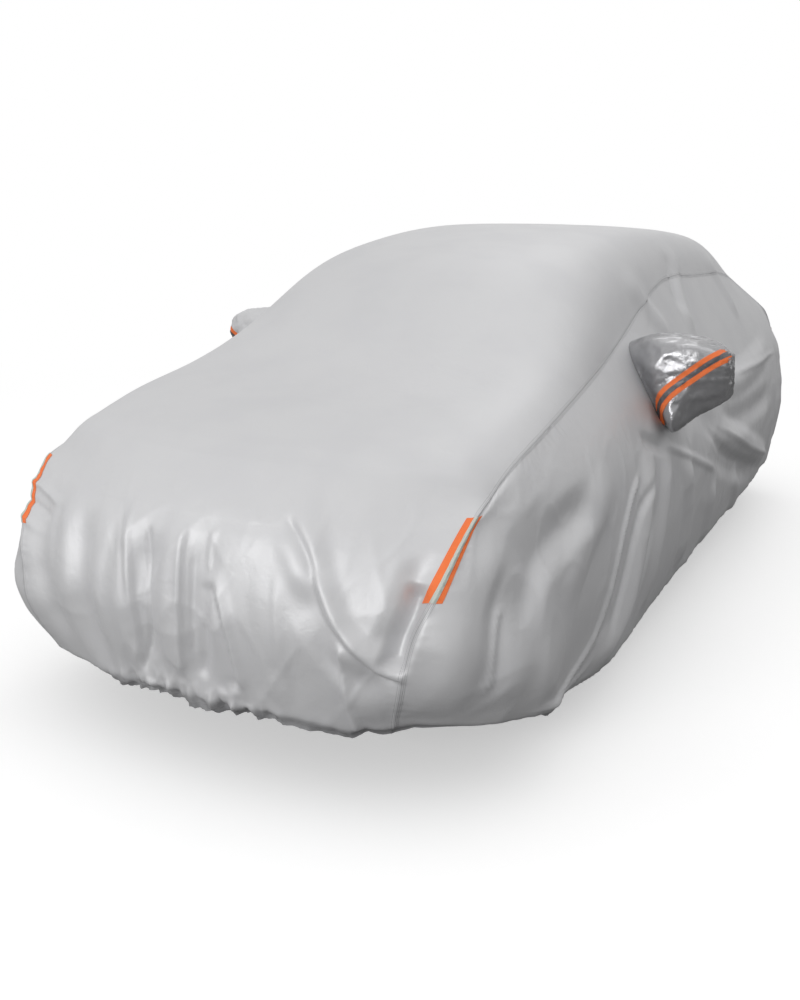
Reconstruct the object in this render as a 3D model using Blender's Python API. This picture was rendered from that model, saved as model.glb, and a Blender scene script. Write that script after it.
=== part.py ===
"""A fitted cover for a compact saloon car, in the shape in which it lies on the car.

The cover is silver coated cloth. One long top panel runs from the front hem over the bonnet, the
screen, the roof and the boot to the rear hem. A side panel closes each side, from the long seam to
the hem. A mirror pocket is sewn to a hole in each side panel, and reflective tapes lie on the four
corner seams and across the pockets. The cover is hollow, and open below.

All sizes are metres. While the cloth is worked out, x is the car's left, y runs back from the front
bumper and z is the height above the ground. ROOF_REST, the point under the roof cloth that carries
the cover, is the origin of the finished part.
"""

from collections import namedtuple

import bmesh
import bpy
import numpy as np
from mathutils import Vector

# Driving dimensions -------------------------------------------------------------------------

CLOTH = 0.002  # thickness of the coated cloth
TAPE = 0.001  # thickness of an orange tape, and of the silver strip on it
SEAM_SETBACK = 0.0002  # each panel ends this far before the middle of a seam
CLEARANCE = 0.0004  # between the cloth and what is sewn on it
TAPE_HALF_WIDTH = 0.025
STRIP_HALF_WIDTH = 0.008
PANEL_CELLS_ACROSS = 28  # the mesh cells of the top panel, between its long seams
ROOF_REST = (0.0, 2.60, 1.4925)
MIRROR = (-1, 1, 1)
SIGNS = {"left": 1, "right": -1}

SILVER_CLOTH = ("silver_cloth", (0.60, 0.60, 0.61), 0.65, 0.42)
ORANGE_TAPE = ("orange_tape", (0.95, 0.22, 0.04), 0.0, 0.55)
SILVER_STRIP = ("silver_strip", (0.66, 0.70, 0.66), 0.5, 0.35)

# One row for each cross section, front to rear: the cloth on the centre line (y, z), the long seam
# on the left (x, y, z), how the section runs between them (sag is the share of the drop that is
# spread evenly, edge is how sharply the rest turns down near the seam), and the mesh cells to the
# next row.
Section = namedtuple("Section", "name mid_y mid_z seam_x seam_y seam_z sag edge cells")
SECTIONS = (
    Section("front hem", 0.020, 0.190, 0.570, 0.120, 0.190, 0.5, 4, 3),
    Section("valance", -0.015, 0.380, 0.615, 0.055, 0.390, 0.5, 4, 3),
    Section("bumper", -0.035, 0.520, 0.645, 0.045, 0.532, 0.5, 4, 2),
    Section("grille", -0.020, 0.650, 0.672, 0.090, 0.618, 0.5, 4, 5),
    Section("lip", 0.040, 0.785, 0.720, 0.253, 0.794, 0.4, 5, 1),
    Section("front corner", 0.115, 0.872, 0.722, 0.320, 0.818, 0.1, 12, 3),
    Section("bonnet nose", 0.240, 0.932, 0.722, 0.420, 0.857, 0.1, 12, 3),
    Section("bonnet", 0.490, 0.985, 0.725, 0.620, 0.916, 0.1, 12, 4),
    Section("bonnet rear", 0.790, 1.046, 0.712, 0.900, 0.967, 0.1, 13, 4),
    Section("screen foot", 0.990, 1.162, 0.692, 1.230, 1.026, 0.1, 13, 4),
    Section("screen low", 1.260, 1.330, 0.670, 1.570, 1.104, 0.1, 12, 4),
    Section("screen high", 1.660, 1.436, 0.640, 1.950, 1.209, 0.1, 10, 4),
    Section("roof front", 2.200, 1.490, 0.610, 2.380, 1.287, 0.1, 9, 4),
    Section("roof", 2.650, 1.495, 0.600, 2.750, 1.284, 0.1, 9, 4),
    Section("roof rear", 3.200, 1.478, 0.600, 3.220, 1.273, 0.1, 9, 4),
    Section("rear screen", 3.700, 1.400, 0.600, 3.640, 1.252, 0.1, 8, 3),
    Section("boot front", 4.050, 1.232, 0.620, 3.950, 1.180, 0.2, 6, 2),
    Section("boot", 4.280, 1.110, 0.680, 4.200, 1.082, 0.3, 6, 2),
    Section("rear corner", 4.430, 1.035, 0.715, 4.330, 1.010, 0.4, 5, 1),
    Section("boot lip", 4.500, 0.960, 0.735, 4.390, 0.930, 0.5, 4, 5),
    Section("tail", 4.530, 0.740, 0.750, 4.430, 0.720, 0.5, 4, 4),
    Section("rear bumper", 4.545, 0.480, 0.745, 4.425, 0.460, 0.5, 4, 4),
    Section("rear hem", 4.460, 0.200, 0.670, 4.340, 0.200, 0.5, 4, 0),
)

# One row for each of the sections that the side panels share: the cloth at the shoulder, the belt,
# the sill and the hem of the left side, each (x, y, z). The first and the last are corner seams.
Flank = namedtuple("Flank", "section shoulder belt sill hem")
FLANKS = (
    Flank("front corner", (0.690, 0.140, 0.685), (0.645, 0.045, 0.532),
          (0.615, 0.055, 0.390), (0.570, 0.120, 0.190)),
    Flank("bonnet nose", (0.752, 0.310, 0.740), (0.795, 0.235, 0.560),
          (0.835, 0.245, 0.370), (0.800, 0.345, 0.188)),
    Flank("bonnet", (0.800, 0.570, 0.790), (0.862, 0.535, 0.580),
          (0.882, 0.545, 0.360), (0.850, 0.580, 0.152)),
    Flank("bonnet rear", (0.820, 0.900, 0.830), (0.885, 0.900, 0.600),
          (0.895, 0.900, 0.360), (0.868, 0.900, 0.120)),
    Flank("screen foot", (0.810, 1.230, 0.870), (0.885, 1.230, 0.620),
          (0.897, 1.230, 0.360), (0.866, 1.220, 0.110)),
    Flank("screen low", (0.800, 1.570, 0.900), (0.885, 1.570, 0.640),
          (0.892, 1.570, 0.380), (0.852, 1.570, 0.118)),
    Flank("screen high", (0.785, 1.930, 0.940), (0.885, 1.910, 0.660),
          (0.890, 1.900, 0.400), (0.850, 1.880, 0.132)),
    Flank("roof front", (0.775, 2.340, 0.970), (0.885, 2.310, 0.680),
          (0.887, 2.300, 0.400), (0.845, 2.280, 0.140)),
    Flank("roof", (0.770, 2.730, 0.970), (0.885, 2.720, 0.680),
          (0.885, 2.720, 0.400), (0.842, 2.720, 0.145)),
    Flank("roof rear", (0.770, 3.200, 0.970), (0.882, 3.200, 0.680),
          (0.882, 3.200, 0.400), (0.840, 3.200, 0.150)),
    Flank("rear screen", (0.770, 3.620, 0.965), (0.872, 3.610, 0.680),
          (0.877, 3.600, 0.420), (0.838, 3.600, 0.160)),
    Flank("boot front", (0.775, 3.940, 0.940), (0.862, 3.910, 0.680),
          (0.866, 3.900, 0.420), (0.832, 3.880, 0.170)),
    Flank("boot", (0.780, 4.190, 0.900), (0.835, 4.160, 0.680),
          (0.842, 4.140, 0.430), (0.800, 4.110, 0.180)),
    Flank("rear corner", (0.743, 4.410, 0.850), (0.750, 4.432, 0.670),
          (0.743, 4.422, 0.430), (0.670, 4.340, 0.200)),
)

# The pocket's rings from its seam in the side panel out to its tip, left side: the centre (x, y, z),
# half its depth along the car and half its height. Its block of cells in the side panel starts at
# a section and a row of the panel's mesh.
PocketRing = namedtuple("PocketRing", "x y z half_depth half_height")
POCKET_RINGS = (
    PocketRing(0.750, 1.715, 0.950, 0.130, 0.152),
    PocketRing(0.830, 1.690, 0.975, 0.115, 0.152),
    PocketRing(0.910, 1.672, 0.990, 0.104, 0.138),
    PocketRing(0.985, 1.665, 0.998, 0.092, 0.112),
    PocketRing(1.038, 1.668, 1.003, 0.070, 0.078),
)
POCKET_SECTION = "screen low"
POCKET_ROW = 1
POCKET_BLOCK = (4, 3)  # the block's cells down, and along the car
POCKET_SPREAD = 3.5  # how many cells away the mesh still draws in towards the pocket
POCKET_CELLS = 5  # mesh cells from the pocket's seam to its cap
POCKET_SQUARENESS = 2.6  # exponent of the rings' outline: 2 is an ellipse, more is squarer
POCKET_TIP = 0.012  # how far the cap bulges past the last ring
POCKET_SHIFTS = {"left": (0, 0, 0), "right": (0.025, 0.010, 0.015)}  # moves of each pocket's tip

# The tape across the front of the left pocket (x, y, z), and the depths over which it is cut.
POCKET_TAPE_PATH = ((0.815, 1.55, 0.785), (0.826, 1.55, 0.890), (0.870, 1.55, 0.965),
                    (0.950, 1.55, 1.020), (1.055, 1.55, 1.095))
POCKET_TAPE_DEPTH = (-0.10, 0.11)

# The sections between which the tapes on the front and the rear corners lie.
CORNER_TAPES = {"front": ("grille", "lip"), "rear": ("boot lip", "tail")}

# Folds: the side of the cover they lie on, their height out from the cloth (less than zero for a
# trough), their half widths on either side of the crest, and the places they run through: (x, z)
# at the front and the rear, (y, z) on a side, (x, y) on top.
Fold = namedtuple("Fold", "face height near far path")
FOLDS = (
    # The front: upright folds, one long fold that runs down to the left corner, and a tuck there.
    Fold("front", 0.015, 0.065, 0.065, ((-0.15, 0.80), (-0.20, 0.60), (-0.19, 0.24))),
    Fold("front", 0.011, 0.065, 0.065, ((-0.27, 0.76), (-0.29, 0.50), (-0.26, 0.26))),
    Fold("front", -0.015, 0.065, 0.065, ((-0.10, 0.72), (-0.13, 0.50), (-0.12, 0.24))),
    Fold("front", 0.015, 0.065, 0.065, ((0.00, 0.80), (-0.04, 0.58), (-0.02, 0.24))),
    Fold("front", -0.012, 0.065, 0.065, ((0.11, 0.78), (0.06, 0.58), (0.05, 0.24))),
    Fold("front", 0.012, 0.065, 0.065, ((0.08, 0.66), (0.14, 0.42), (0.17, 0.24))),
    Fold("front", 0.011, 0.065, 0.065, ((0.27, 0.68), (0.28, 0.45), (0.27, 0.24))),
    Fold("front", 0.021, 0.065, 0.090, ((0.27, 0.86), (0.37, 0.69), (0.46, 0.52), (0.62, 0.42))),
    Fold("front", -0.021, 0.065, 0.065, ((0.34, 0.66), (0.43, 0.50), (0.50, 0.40), (0.60, 0.34))),
    Fold("front", 0.012, 0.065, 0.065, ((0.46, 0.52), (0.49, 0.38), (0.51, 0.22))),
    Fold("front", -0.021, 0.065, 0.065, ((0.64, 0.74), (0.62, 0.56), (0.58, 0.46))),
    Fold("front", 0.012, 0.065, 0.065, ((-0.45, 0.82), (-0.44, 0.55), (-0.40, 0.24))),
    Fold("front", -0.012, 0.065, 0.065, ((-0.37, 0.74), (-0.36, 0.48), (-0.33, 0.24))),
    Fold("front", -0.013, 0.065, 0.065, ((-0.60, 0.76), (-0.56, 0.54), (-0.48, 0.30))),
    # The left side: folds that hang from the pocket and the seam, and long ones low on the panel.
    Fold("left", -0.027, 0.085, 0.085, ((0.85, 0.74), (0.55, 0.69), (0.36, 0.62), (0.24, 0.40))),
    Fold("left", 0.015, 0.085, 0.085, ((0.36, 0.72), (0.28, 0.52), (0.22, 0.28))),
    Fold("left", 0.030, 0.085, 0.110, ((1.44, 0.82), (1.30, 0.66), (1.14, 0.46), (0.96, 0.27),
                                       (0.70, 0.20))),
    Fold("left", -0.023, 0.085, 0.085, ((1.36, 0.62), (1.22, 0.42), (1.08, 0.22))),
    Fold("left", 0.019, 0.085, 0.085, ((1.62, 0.76), (1.46, 0.52), (1.34, 0.20))),
    Fold("left", 0.023, 0.085, 0.085, ((1.78, 0.72), (1.86, 0.48), (1.88, 0.18))),
    Fold("left", -0.019, 0.085, 0.085, ((1.92, 0.84), (2.24, 0.74), (2.90, 0.66), (3.90, 0.66))),
    Fold("left", 0.023, 0.085, 0.085, ((1.95, 0.95), (2.40, 0.86), (3.10, 0.83), (4.00, 0.90))),
    Fold("left", 0.027, 0.090, 0.090, ((2.10, 0.80), (2.60, 0.64), (3.20, 0.46), (3.92, 0.27))),
    Fold("left", -0.023, 0.085, 0.085, ((2.20, 0.62), (2.80, 0.44), (3.50, 0.28))),
    Fold("left", 0.019, 0.085, 0.085, ((2.30, 0.50), (2.34, 0.34), (2.40, 0.16))),
    Fold("left", 0.019, 0.085, 0.085, ((2.86, 0.42), (2.98, 0.28), (3.04, 0.16))),
    Fold("left", 0.017, 0.085, 0.085, ((2.72, 1.42), (2.60, 1.30), (2.50, 1.18), (2.46, 1.02))),
    Fold("left", -0.013, 0.085, 0.085, ((2.58, 1.40), (2.50, 1.28), (2.42, 1.14))),
    Fold("left", 0.015, 0.085, 0.085, ((1.84, 1.34), (1.96, 1.22), (2.14, 1.06))),
    Fold("left", 0.015, 0.085, 0.085, ((3.30, 1.38), (3.40, 1.22), (3.44, 1.04))),
    Fold("left", 0.023, 0.085, 0.085, ((4.30, 0.98), (4.20, 0.76), (4.16, 0.46), (4.12, 0.22))),
    Fold("left", -0.019, 0.085, 0.085, ((4.14, 0.86), (4.02, 0.60), (3.98, 0.32))),
    # The right side, which hangs in the same way with folds of its own.
    Fold("right", -0.025, 0.085, 0.085, ((0.90, 0.72), (0.60, 0.68), (0.38, 0.60), (0.25, 0.42))),
    Fold("right", 0.017, 0.085, 0.085, ((0.40, 0.70), (0.30, 0.50), (0.26, 0.26))),
    Fold("right", 0.028, 0.085, 0.110, ((1.50, 0.80), (1.32, 0.62), (1.10, 0.42), (0.90, 0.24))),
    Fold("right", -0.023, 0.085, 0.085, ((1.44, 0.60), (1.30, 0.40), (1.20, 0.20))),
    Fold("right", 0.021, 0.085, 0.085, ((1.70, 0.74), (1.62, 0.50), (1.58, 0.18))),
    Fold("right", 0.023, 0.085, 0.085, ((1.96, 0.92), (2.50, 0.84), (3.20, 0.84), (4.05, 0.92))),
    Fold("right", -0.021, 0.085, 0.085, ((1.96, 0.80), (2.40, 0.70), (3.10, 0.68), (3.90, 0.72))),
    Fold("right", 0.027, 0.090, 0.090, ((1.98, 0.72), (2.50, 0.52), (3.00, 0.38), (3.60, 0.22))),
    Fold("right", 0.023, 0.085, 0.085, ((3.00, 0.62), (3.50, 0.50), (4.00, 0.34))),
    Fold("right", 0.019, 0.085, 0.085, ((2.20, 0.46), (2.16, 0.30), (2.14, 0.16))),
    Fold("right", 0.017, 0.085, 0.085, ((2.50, 1.42), (2.44, 1.28), (2.40, 1.08))),
    Fold("right", 0.015, 0.085, 0.085, ((3.10, 1.40), (3.22, 1.24), (3.30, 1.06))),
    Fold("right", 0.023, 0.085, 0.085, ((4.28, 0.96), (4.20, 0.72), (4.14, 0.44), (4.10, 0.22))),
    Fold("right", 0.024, 0.120, 0.120, ((0.04, 0.52), (0.10, 0.36), (0.16, 0.24), (0.22, 0.08))),
    # The rear: upright folds under the edge of the boot.
    Fold("rear", 0.017, 0.065, 0.065, ((-0.52, 0.90), (-0.48, 0.60), (-0.46, 0.24))),
    Fold("rear", -0.013, 0.065, 0.065, ((-0.38, 0.86), (-0.34, 0.56), (-0.36, 0.24))),
    Fold("rear", 0.015, 0.065, 0.065, ((-0.22, 0.88), (-0.20, 0.60), (-0.24, 0.24))),
    Fold("rear", -0.013, 0.065, 0.065, ((0.02, 0.84), (-0.02, 0.56), (-0.06, 0.24))),
    Fold("rear", 0.015, 0.065, 0.065, ((0.16, 0.90), (0.20, 0.62), (0.18, 0.24))),
    Fold("rear", 0.018, 0.065, 0.080, ((0.62, 0.92), (0.46, 0.74), (0.38, 0.50), (0.36, 0.24))),
    Fold("rear", -0.015, 0.065, 0.065, ((0.56, 0.66), (0.52, 0.46), (0.50, 0.26))),
)


# Curves and surfaces ------------------------------------------------------------------------

def natural_curve(knots, rows, places):
    """Natural cubic curve through the rows, one for each knot, read at the places."""
    count = len(knots)
    step = np.diff(knots)
    system = np.eye(count)
    turn = np.zeros_like(rows)
    for i in range(1, count - 1):
        system[i, i - 1:i + 2] = step[i - 1], 2 * (step[i - 1] + step[i]), step[i]
        turn[i] = 6 * ((rows[i + 1] - rows[i]) / step[i] - (rows[i] - rows[i - 1]) / step[i - 1])
    bend = np.linalg.solve(system, turn)
    i = np.clip(np.searchsorted(knots, places, side="right") - 1, 0, count - 2)
    after = (places - knots[i])[:, None]
    before = (knots[i + 1] - places)[:, None]
    width = step[i][:, None]
    return ((bend[i] * before**3 + bend[i + 1] * after**3) / (6 * width)
            + (rows[i] / width - bend[i] * width / 6) * before
            + (rows[i + 1] / width - bend[i + 1] * width / 6) * after)


def lengths_along(points):
    """Distance of each point from the first, along the points."""
    steps = np.linalg.norm(np.diff(points, axis=0), axis=1)
    return np.concatenate([[0.0], np.cumsum(steps)])


def points_at(points, distances):
    """The points at the given distances along a polyline."""
    along = lengths_along(points)
    return np.stack([np.interp(distances, along, points[:, axis]) for axis in range(3)], axis=1)


def unit(vectors):
    """The vectors at length one."""
    return vectors / np.maximum(np.linalg.norm(vectors, axis=-1, keepdims=True), 1e-12)


def smooth_step(low, high, value):
    """0 below low, 1 above high, and a soft rise between."""
    share = np.clip((value - low) / (high - low), 0.0, 1.0)
    return share * share * (3 - 2 * share)


# The cover's base shape ---------------------------------------------------------------------

SECTION_TABLE = np.array([row[1:8] for row in SECTIONS])
SECTION_NAMES = [row.name for row in SECTIONS]
SECTION_KNOTS = lengths_along(
    np.stack([SECTION_TABLE[:, 2], SECTION_TABLE[:, [0, 3]].mean(axis=1),
              SECTION_TABLE[:, [1, 4]].mean(axis=1)], axis=1)
)
FRONT_CORNER = SECTION_NAMES.index("front corner")
REAR_CORNER = SECTION_NAMES.index("rear corner")


def section_places():
    """Places along the cover of the mesh's cross sections, and how many lie before each row."""
    places, starts = [SECTION_KNOTS[0]], [0]
    for row, cells in enumerate(section.cells for section in SECTIONS[:-1]):
        places.extend(np.linspace(SECTION_KNOTS[row], SECTION_KNOTS[row + 1], cells + 1)[1:])
        starts.append(len(places) - 1)
    return np.array(places), starts


def section_line(values, samples=121):
    """A cross section from the right seam to the left one, as a fine polyline."""
    mid_y, mid_z, seam_x, seam_y, seam_z, sag, edge = values
    across = np.linspace(-1, 1, samples)
    reach = np.abs(across)
    drop = sag * reach**2 + (1 - sag) * reach**edge
    return np.stack([seam_x * across, mid_y + (seam_y - mid_y) * reach**2.2,
                     mid_z + (seam_z - mid_z) * drop], axis=1)


def top_grid(places):
    """The top panel's points, a row for each place and a column for each cell edge across."""
    rows = []
    for values in natural_curve(SECTION_KNOTS, SECTION_TABLE, places):
        line = section_line(values)
        length = lengths_along(line)[-1]
        inner = np.linspace(TAPE_HALF_WIDTH, length - TAPE_HALF_WIDTH, PANEL_CELLS_ACROSS - 1)
        rows.append(points_at(line, np.concatenate([[0.0], inner, [length]])))
    return np.array(rows)


def flank_columns(places):
    """Fine polylines down the left side, from the long seam to the hem, one for each place."""
    knots = SECTION_KNOTS[FRONT_CORNER:REAR_CORNER + 1]
    rails = np.array([[*row.shoulder, *row.belt, *row.sill, *row.hem] for row in FLANKS])
    seams = natural_curve(SECTION_KNOTS, SECTION_TABLE, places)[:, 2:5]
    columns = []
    for seam, rail in zip(seams, natural_curve(knots, rails, places)):
        through = np.vstack([seam, rail.reshape(4, 3)])
        along = lengths_along(through)
        columns.append(natural_curve(along, through, np.linspace(0, along[-1], 81)))
    return columns


def flank_grid(places, front_seam, rear_seam):
    """The left panel's points: rows from the long seam to the hem, columns from front to rear."""
    columns = flank_columns(places)
    rows_count, columns_count = len(front_seam), len(places)
    front_share = lengths_along(front_seam) / lengths_along(front_seam)[-1]
    rear_share = lengths_along(rear_seam) / lengths_along(rear_seam)[-1]
    grid = np.zeros((rows_count, columns_count, 3))
    for i, column in enumerate(columns):
        length = lengths_along(column)[-1]
        even = np.concatenate([[0.0], np.linspace(TAPE_HALF_WIDTH / length, 1, rows_count - 1)])
        front = 1 - smooth_step(1, 5, i)
        rear = 1 - smooth_step(1, 5, columns_count - 1 - i)
        share = even + front * (front_share - even) + rear * (rear_share - even)
        grid[:, i] = points_at(column, share * length)
    grid += end_correction(grid[:, 0], front_seam, columns_count)
    grid += end_correction(grid[:, -1], rear_seam, columns_count)[:, ::-1]
    grid[1:, 1] = step_towards(grid[1:, 0], grid[1:, 2], TAPE_HALF_WIDTH)
    grid[1:, -2] = step_towards(grid[1:, -1], grid[1:, -3], TAPE_HALF_WIDTH)
    front_corner = (grid[1, 2] + grid[2, 1]) / 2
    rear_corner = (grid[1, -3] + grid[2, -2]) / 2
    grid[1, 1] = step_towards(grid[1, 0], front_corner, TAPE_HALF_WIDTH)
    grid[1, -2] = step_towards(grid[1, -1], rear_corner, TAPE_HALF_WIDTH)
    return grid


def end_correction(column, seam, columns_count):
    """Moves that bring the first column onto its seam and fade out over the next ones."""
    fade = 1 - smooth_step(0, 6, np.arange(columns_count))
    return (seam - column)[:, None, :] * fade[None, :, None]


def step_towards(start, end, distance):
    """Points at the given distance from start, on the way to end."""
    return start + unit(end - start) * distance


# Normals, seams and folds -------------------------------------------------------------------

def grid_normals(grid):
    """Normals of a grid, on the side from which its rows turn left onto its columns."""
    return unit(np.cross(np.gradient(grid, axis=1), np.gradient(grid, axis=0)))


class Cloth:
    """The three big panels as grids that share the points of their seams."""

    def __init__(self):
        self.places, self.starts = section_places()
        self.front, self.rear = self.starts[FRONT_CORNER], self.starts[REAR_CORNER]
        self.top = top_grid(self.places)
        seam = self.top[:, -1]
        left = flank_grid(self.places[self.front:self.rear + 1],
                          seam[self.front::-1], seam[self.rear:])
        self.block = self.pocket_block()
        round_hole(left, self.block)
        self.sides = {"left": left, "right": left * MIRROR}

    def pocket_block(self):
        """The side panel's cells under the pocket: first row, last row, first, last column."""
        column = self.starts[SECTION_NAMES.index(POCKET_SECTION)] - self.front
        down, along = POCKET_BLOCK
        return (POCKET_ROW, POCKET_ROW + down, column, column + along)

    def fold(self, folds):
        """Move the cloth along its normals by the height of the folds."""
        top, sides = self.normals()
        self.top = self.top + top * fold_height(self.top, folds)[..., None]
        for name, side in sides.items():
            grid = self.sides[name]
            self.sides[name] = grid + side * fold_height(grid, folds)[..., None]

    def normals(self):
        """Normals of the top panel and of both sides, the same on both edges of a seam."""
        top = grid_normals(self.top)
        sides = {"left": -grid_normals(self.sides["left"]),
                 "right": grid_normals(self.sides["right"])}
        for name, column in (("left", -1), ("right", 0)):
            side, seam = sides[name], top[:, column]
            side[0, 0], side[0, -1] = side[1, 1], side[1, -2]
            long_seam = unit(seam[self.front:self.rear + 1] + side[0])
            front_seam = unit(seam[self.front::-1] + side[:, 0])
            rear_seam = unit(seam[self.rear:] + side[:, -1])
            side[:, 0], side[:, -1], side[0] = front_seam, rear_seam, long_seam
            seam[self.front::-1] = front_seam
            seam[self.rear:] = rear_seam
            seam[self.front:self.rear + 1] = long_seam
        return top, sides

    def corner_patch(self, side, first, last, top_normals, side_normals):
        """Points and normals of the cloth under a corner tape.

        The rows are the cross sections from first to last; the columns are the tape's edge on the
        side panel, the seam and the tape's edge on the top panel.
        """
        on_top, seam = (-2, -1) if side == "left" else (1, 0)
        rows = range(first, last + 1)
        down = [self.front - k if k <= self.front else k - self.rear for k in rows]
        beside = 1 if first < self.front else -2
        return [np.stack([flank[down, beside], top[first:last + 1, seam],
                          top[first:last + 1, on_top]], axis=1)
                for top, flank in ((self.top, self.sides[side]), (top_normals, side_normals))]


def face_share(points, face):
    """How far each point belongs to a face of the cover, and its two coordinates there."""
    x, y, z = points[..., 0], points[..., 1], points[..., 2]
    if face == "front":
        return 1 - smooth_step(0.35, 0.60, y), np.stack([x, z], axis=-1)
    if face == "rear":
        return smooth_step(4.05, 4.25, y), np.stack([x, z], axis=-1)
    if face == "left":
        return smooth_step(0.40, 0.55, x), np.stack([y, z], axis=-1)
    if face == "right":
        return smooth_step(0.40, 0.55, -x), np.stack([y, z], axis=-1)
    return smooth_step(0.75, 0.85, z), np.stack([x, y], axis=-1)


def fold_height(points, folds):
    """Sum of the heights of the folds at the points."""
    height = np.zeros(points.shape[:-1])
    for fold in folds:
        share, flat = face_share(points, fold.face)
        path = np.array(fold.path, float)
        fine = natural_curve(lengths_along(path), path, np.linspace(0, lengths_along(path)[-1], 25))
        nearest = np.full(height.shape, np.inf)
        along, side = np.zeros(height.shape), np.zeros(height.shape)
        for i in range(len(fine) - 1):
            run = fine[i + 1] - fine[i]
            away = flat - fine[i]
            step = np.clip((away @ run) / (run @ run), 0, 1)
            distance = np.linalg.norm(away - step[..., None] * run, axis=-1)
            closer = distance < nearest
            nearest = np.where(closer, distance, nearest)
            along = np.where(closer, (i + step) / (len(fine) - 1), along)
            side = np.where(closer, run[0] * away[..., 1] - run[1] * away[..., 0], side)
        width = np.where(side > 0, fold.near, fold.far)
        crest = 0.5 + 0.5 * np.cos(np.pi * np.clip(nearest / width, 0, 1))
        ends = smooth_step(0, 0.25, along) * smooth_step(0, 0.25, 1 - along)
        height += fold.height * share * crest * ends
    return height


# The mirror pockets -------------------------------------------------------------------------

def superellipse(across, up):
    """Where a place on a square's outline lies on the pocket's rounded outline."""
    length = (np.abs(across)**POCKET_SQUARENESS + np.abs(up)**POCKET_SQUARENESS)
    length = length**(1 / POCKET_SQUARENESS)
    return np.stack([across, up], axis=-1) / length[..., None]


def block_square(rows, columns, block):
    """Grid places as coordinates of a square that covers the block: rearward, and upward."""
    first_row, last_row, first_column, last_column = block
    return (2 * (columns - first_column) / (last_column - first_column) - 1,
            1 - 2 * (rows - first_row) / (last_row - first_row))


def round_hole(grid, block):
    """Draw a side panel's points in so that the block of cells gets the pocket's outline."""
    first_row, last_row, first_column, last_column = block
    down, along = np.gradient(grid, axis=0), np.gradient(grid, axis=1)
    rows, columns = np.mgrid[:grid.shape[0], :grid.shape[1]]
    near_rows = np.clip(rows, first_row, last_row)
    near_columns = np.clip(columns, first_column, last_column)
    away = np.maximum(np.abs(rows - near_rows), np.abs(columns - near_columns))
    hole = POCKET_RINGS[0]
    outline = superellipse(*block_square(near_rows, near_columns, block))
    goal = np.stack([hole.y + hole.half_depth * outline[..., 0],
                     hole.z + hole.half_height * outline[..., 1]], axis=-1)
    fade = (1 - smooth_step(0, POCKET_SPREAD, away)) * (rows > 0)
    inside = ((rows > first_row) & (rows < last_row)
              & (columns > first_column) & (columns < last_column))
    shift = (goal - grid[near_rows, near_columns][..., 1:]) * fade[..., None]
    shift[inside] = 0
    for row, column in np.argwhere((fade > 0) & ~inside):
        plane = np.stack([along[row, column], down[row, column]], axis=1)
        share = np.linalg.solve(plane[1:], shift[row, column])
        grid[row, column] += plane @ share


def pocket_point(row, column, ring, block, loop, side):
    """The outer point of a pocket over a place in its block, at a ring out from its seam."""
    sign = SIGNS[side]
    across, up = block_square(row, column, block)
    reach = max(abs(across), abs(up))
    flat = superellipse(np.array(across), np.array(up)) * reach if reach else np.zeros(2)
    table = np.array(POCKET_RINGS)
    knots = np.linspace(0, 1, len(table))
    out = ring / POCKET_CELLS
    x, y, z, depth, height = natural_curve(knots, table, np.array([out]))[0]
    point = np.array([x + POCKET_TIP * (1 - reach**2) * (ring == POCKET_CELLS),
                      y + depth * flat[0], z + height * flat[1]]) * (sign, 1, 1)
    point += np.array(POCKET_SHIFTS[side]) * out
    if ring < POCKET_CELLS:
        _, y, z, depth, height = table[0]
        start = np.array([table[0][0] * sign, y + depth * flat[0], z + height * flat[1]])
        point += (loop[row, column] - start) * (1 - smooth_step(0, 0.7, out))
    return point


def pocket_skin(grid, normals, block, side):
    """The pocket's outer skin: a cap with the block's cells, and rings out to it from the seam.

    The normals at the seam are made halfway between the pocket and the panel, for both of them.
    """
    first_row, last_row, first_column, last_column = block
    columns = last_column - first_column + 1
    sign = SIGNS[side]
    mesh = bmesh.new()
    place = mesh.verts.layers.int.new("place")
    ring_of = mesh.verts.layers.int.new("ring")
    bmesh.ops.create_grid(mesh, x_segments=columns - 1, y_segments=last_row - first_row, size=1.0)
    for index, vertex in enumerate(mesh.verts):
        vertex[place], vertex[ring_of] = index, POCKET_CELLS
    rim = [edge for edge in mesh.edges if edge.is_boundary]
    for ring in reversed(range(POCKET_CELLS)):
        grown = bmesh.ops.extrude_edge_only(mesh, edges=rim)["geom"]
        for vertex in (item for item in grown if isinstance(item, bmesh.types.BMVert)):
            vertex[ring_of] = ring
        rim = [item for item in grown if isinstance(item, bmesh.types.BMEdge)
               and all(vertex[ring_of] == ring for vertex in item.verts)]
    for vertex in mesh.verts:
        row, column = first_row + vertex[place] // columns, first_column + vertex[place] % columns
        vertex.co = pocket_point(row, column, vertex[ring_of], block, grid, side)
    bmesh.ops.recalc_face_normals(mesh, faces=mesh.faces)
    cap = max(mesh.faces, key=lambda face: face.calc_center_median().x * sign)
    if cap.normal.x * sign < 0:
        bmesh.ops.reverse_faces(mesh, faces=mesh.faces)
    split_cells(mesh)
    mesh.normal_update()
    out = mesh.verts.layers.float_vector.new("out")
    for vertex in mesh.verts:
        vertex[out] = vertex.normal
        if vertex[ring_of] == 0:
            row = first_row + vertex[place] // columns
            column = first_column + vertex[place] % columns
            normals[row, column] = unit(np.array(vertex.normal) + normals[row, column])
            vertex[out] = normals[row, column]
            vertex.co -= Vector(hole_setback(grid, block, row, column, sign))
    return mesh


def hole_setback(grid, block, row, column, sign):
    """How far the panel's rim stands back from the middle of the pocket's seam at a place."""
    first_row, last_row, first_column, last_column = block
    centre = grid[first_row:last_row + 1, first_column:last_column + 1].mean(axis=(0, 1))
    return unit(unit(grid[row, column] - centre) - (sign, 0, 0)) * SEAM_SETBACK


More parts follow.
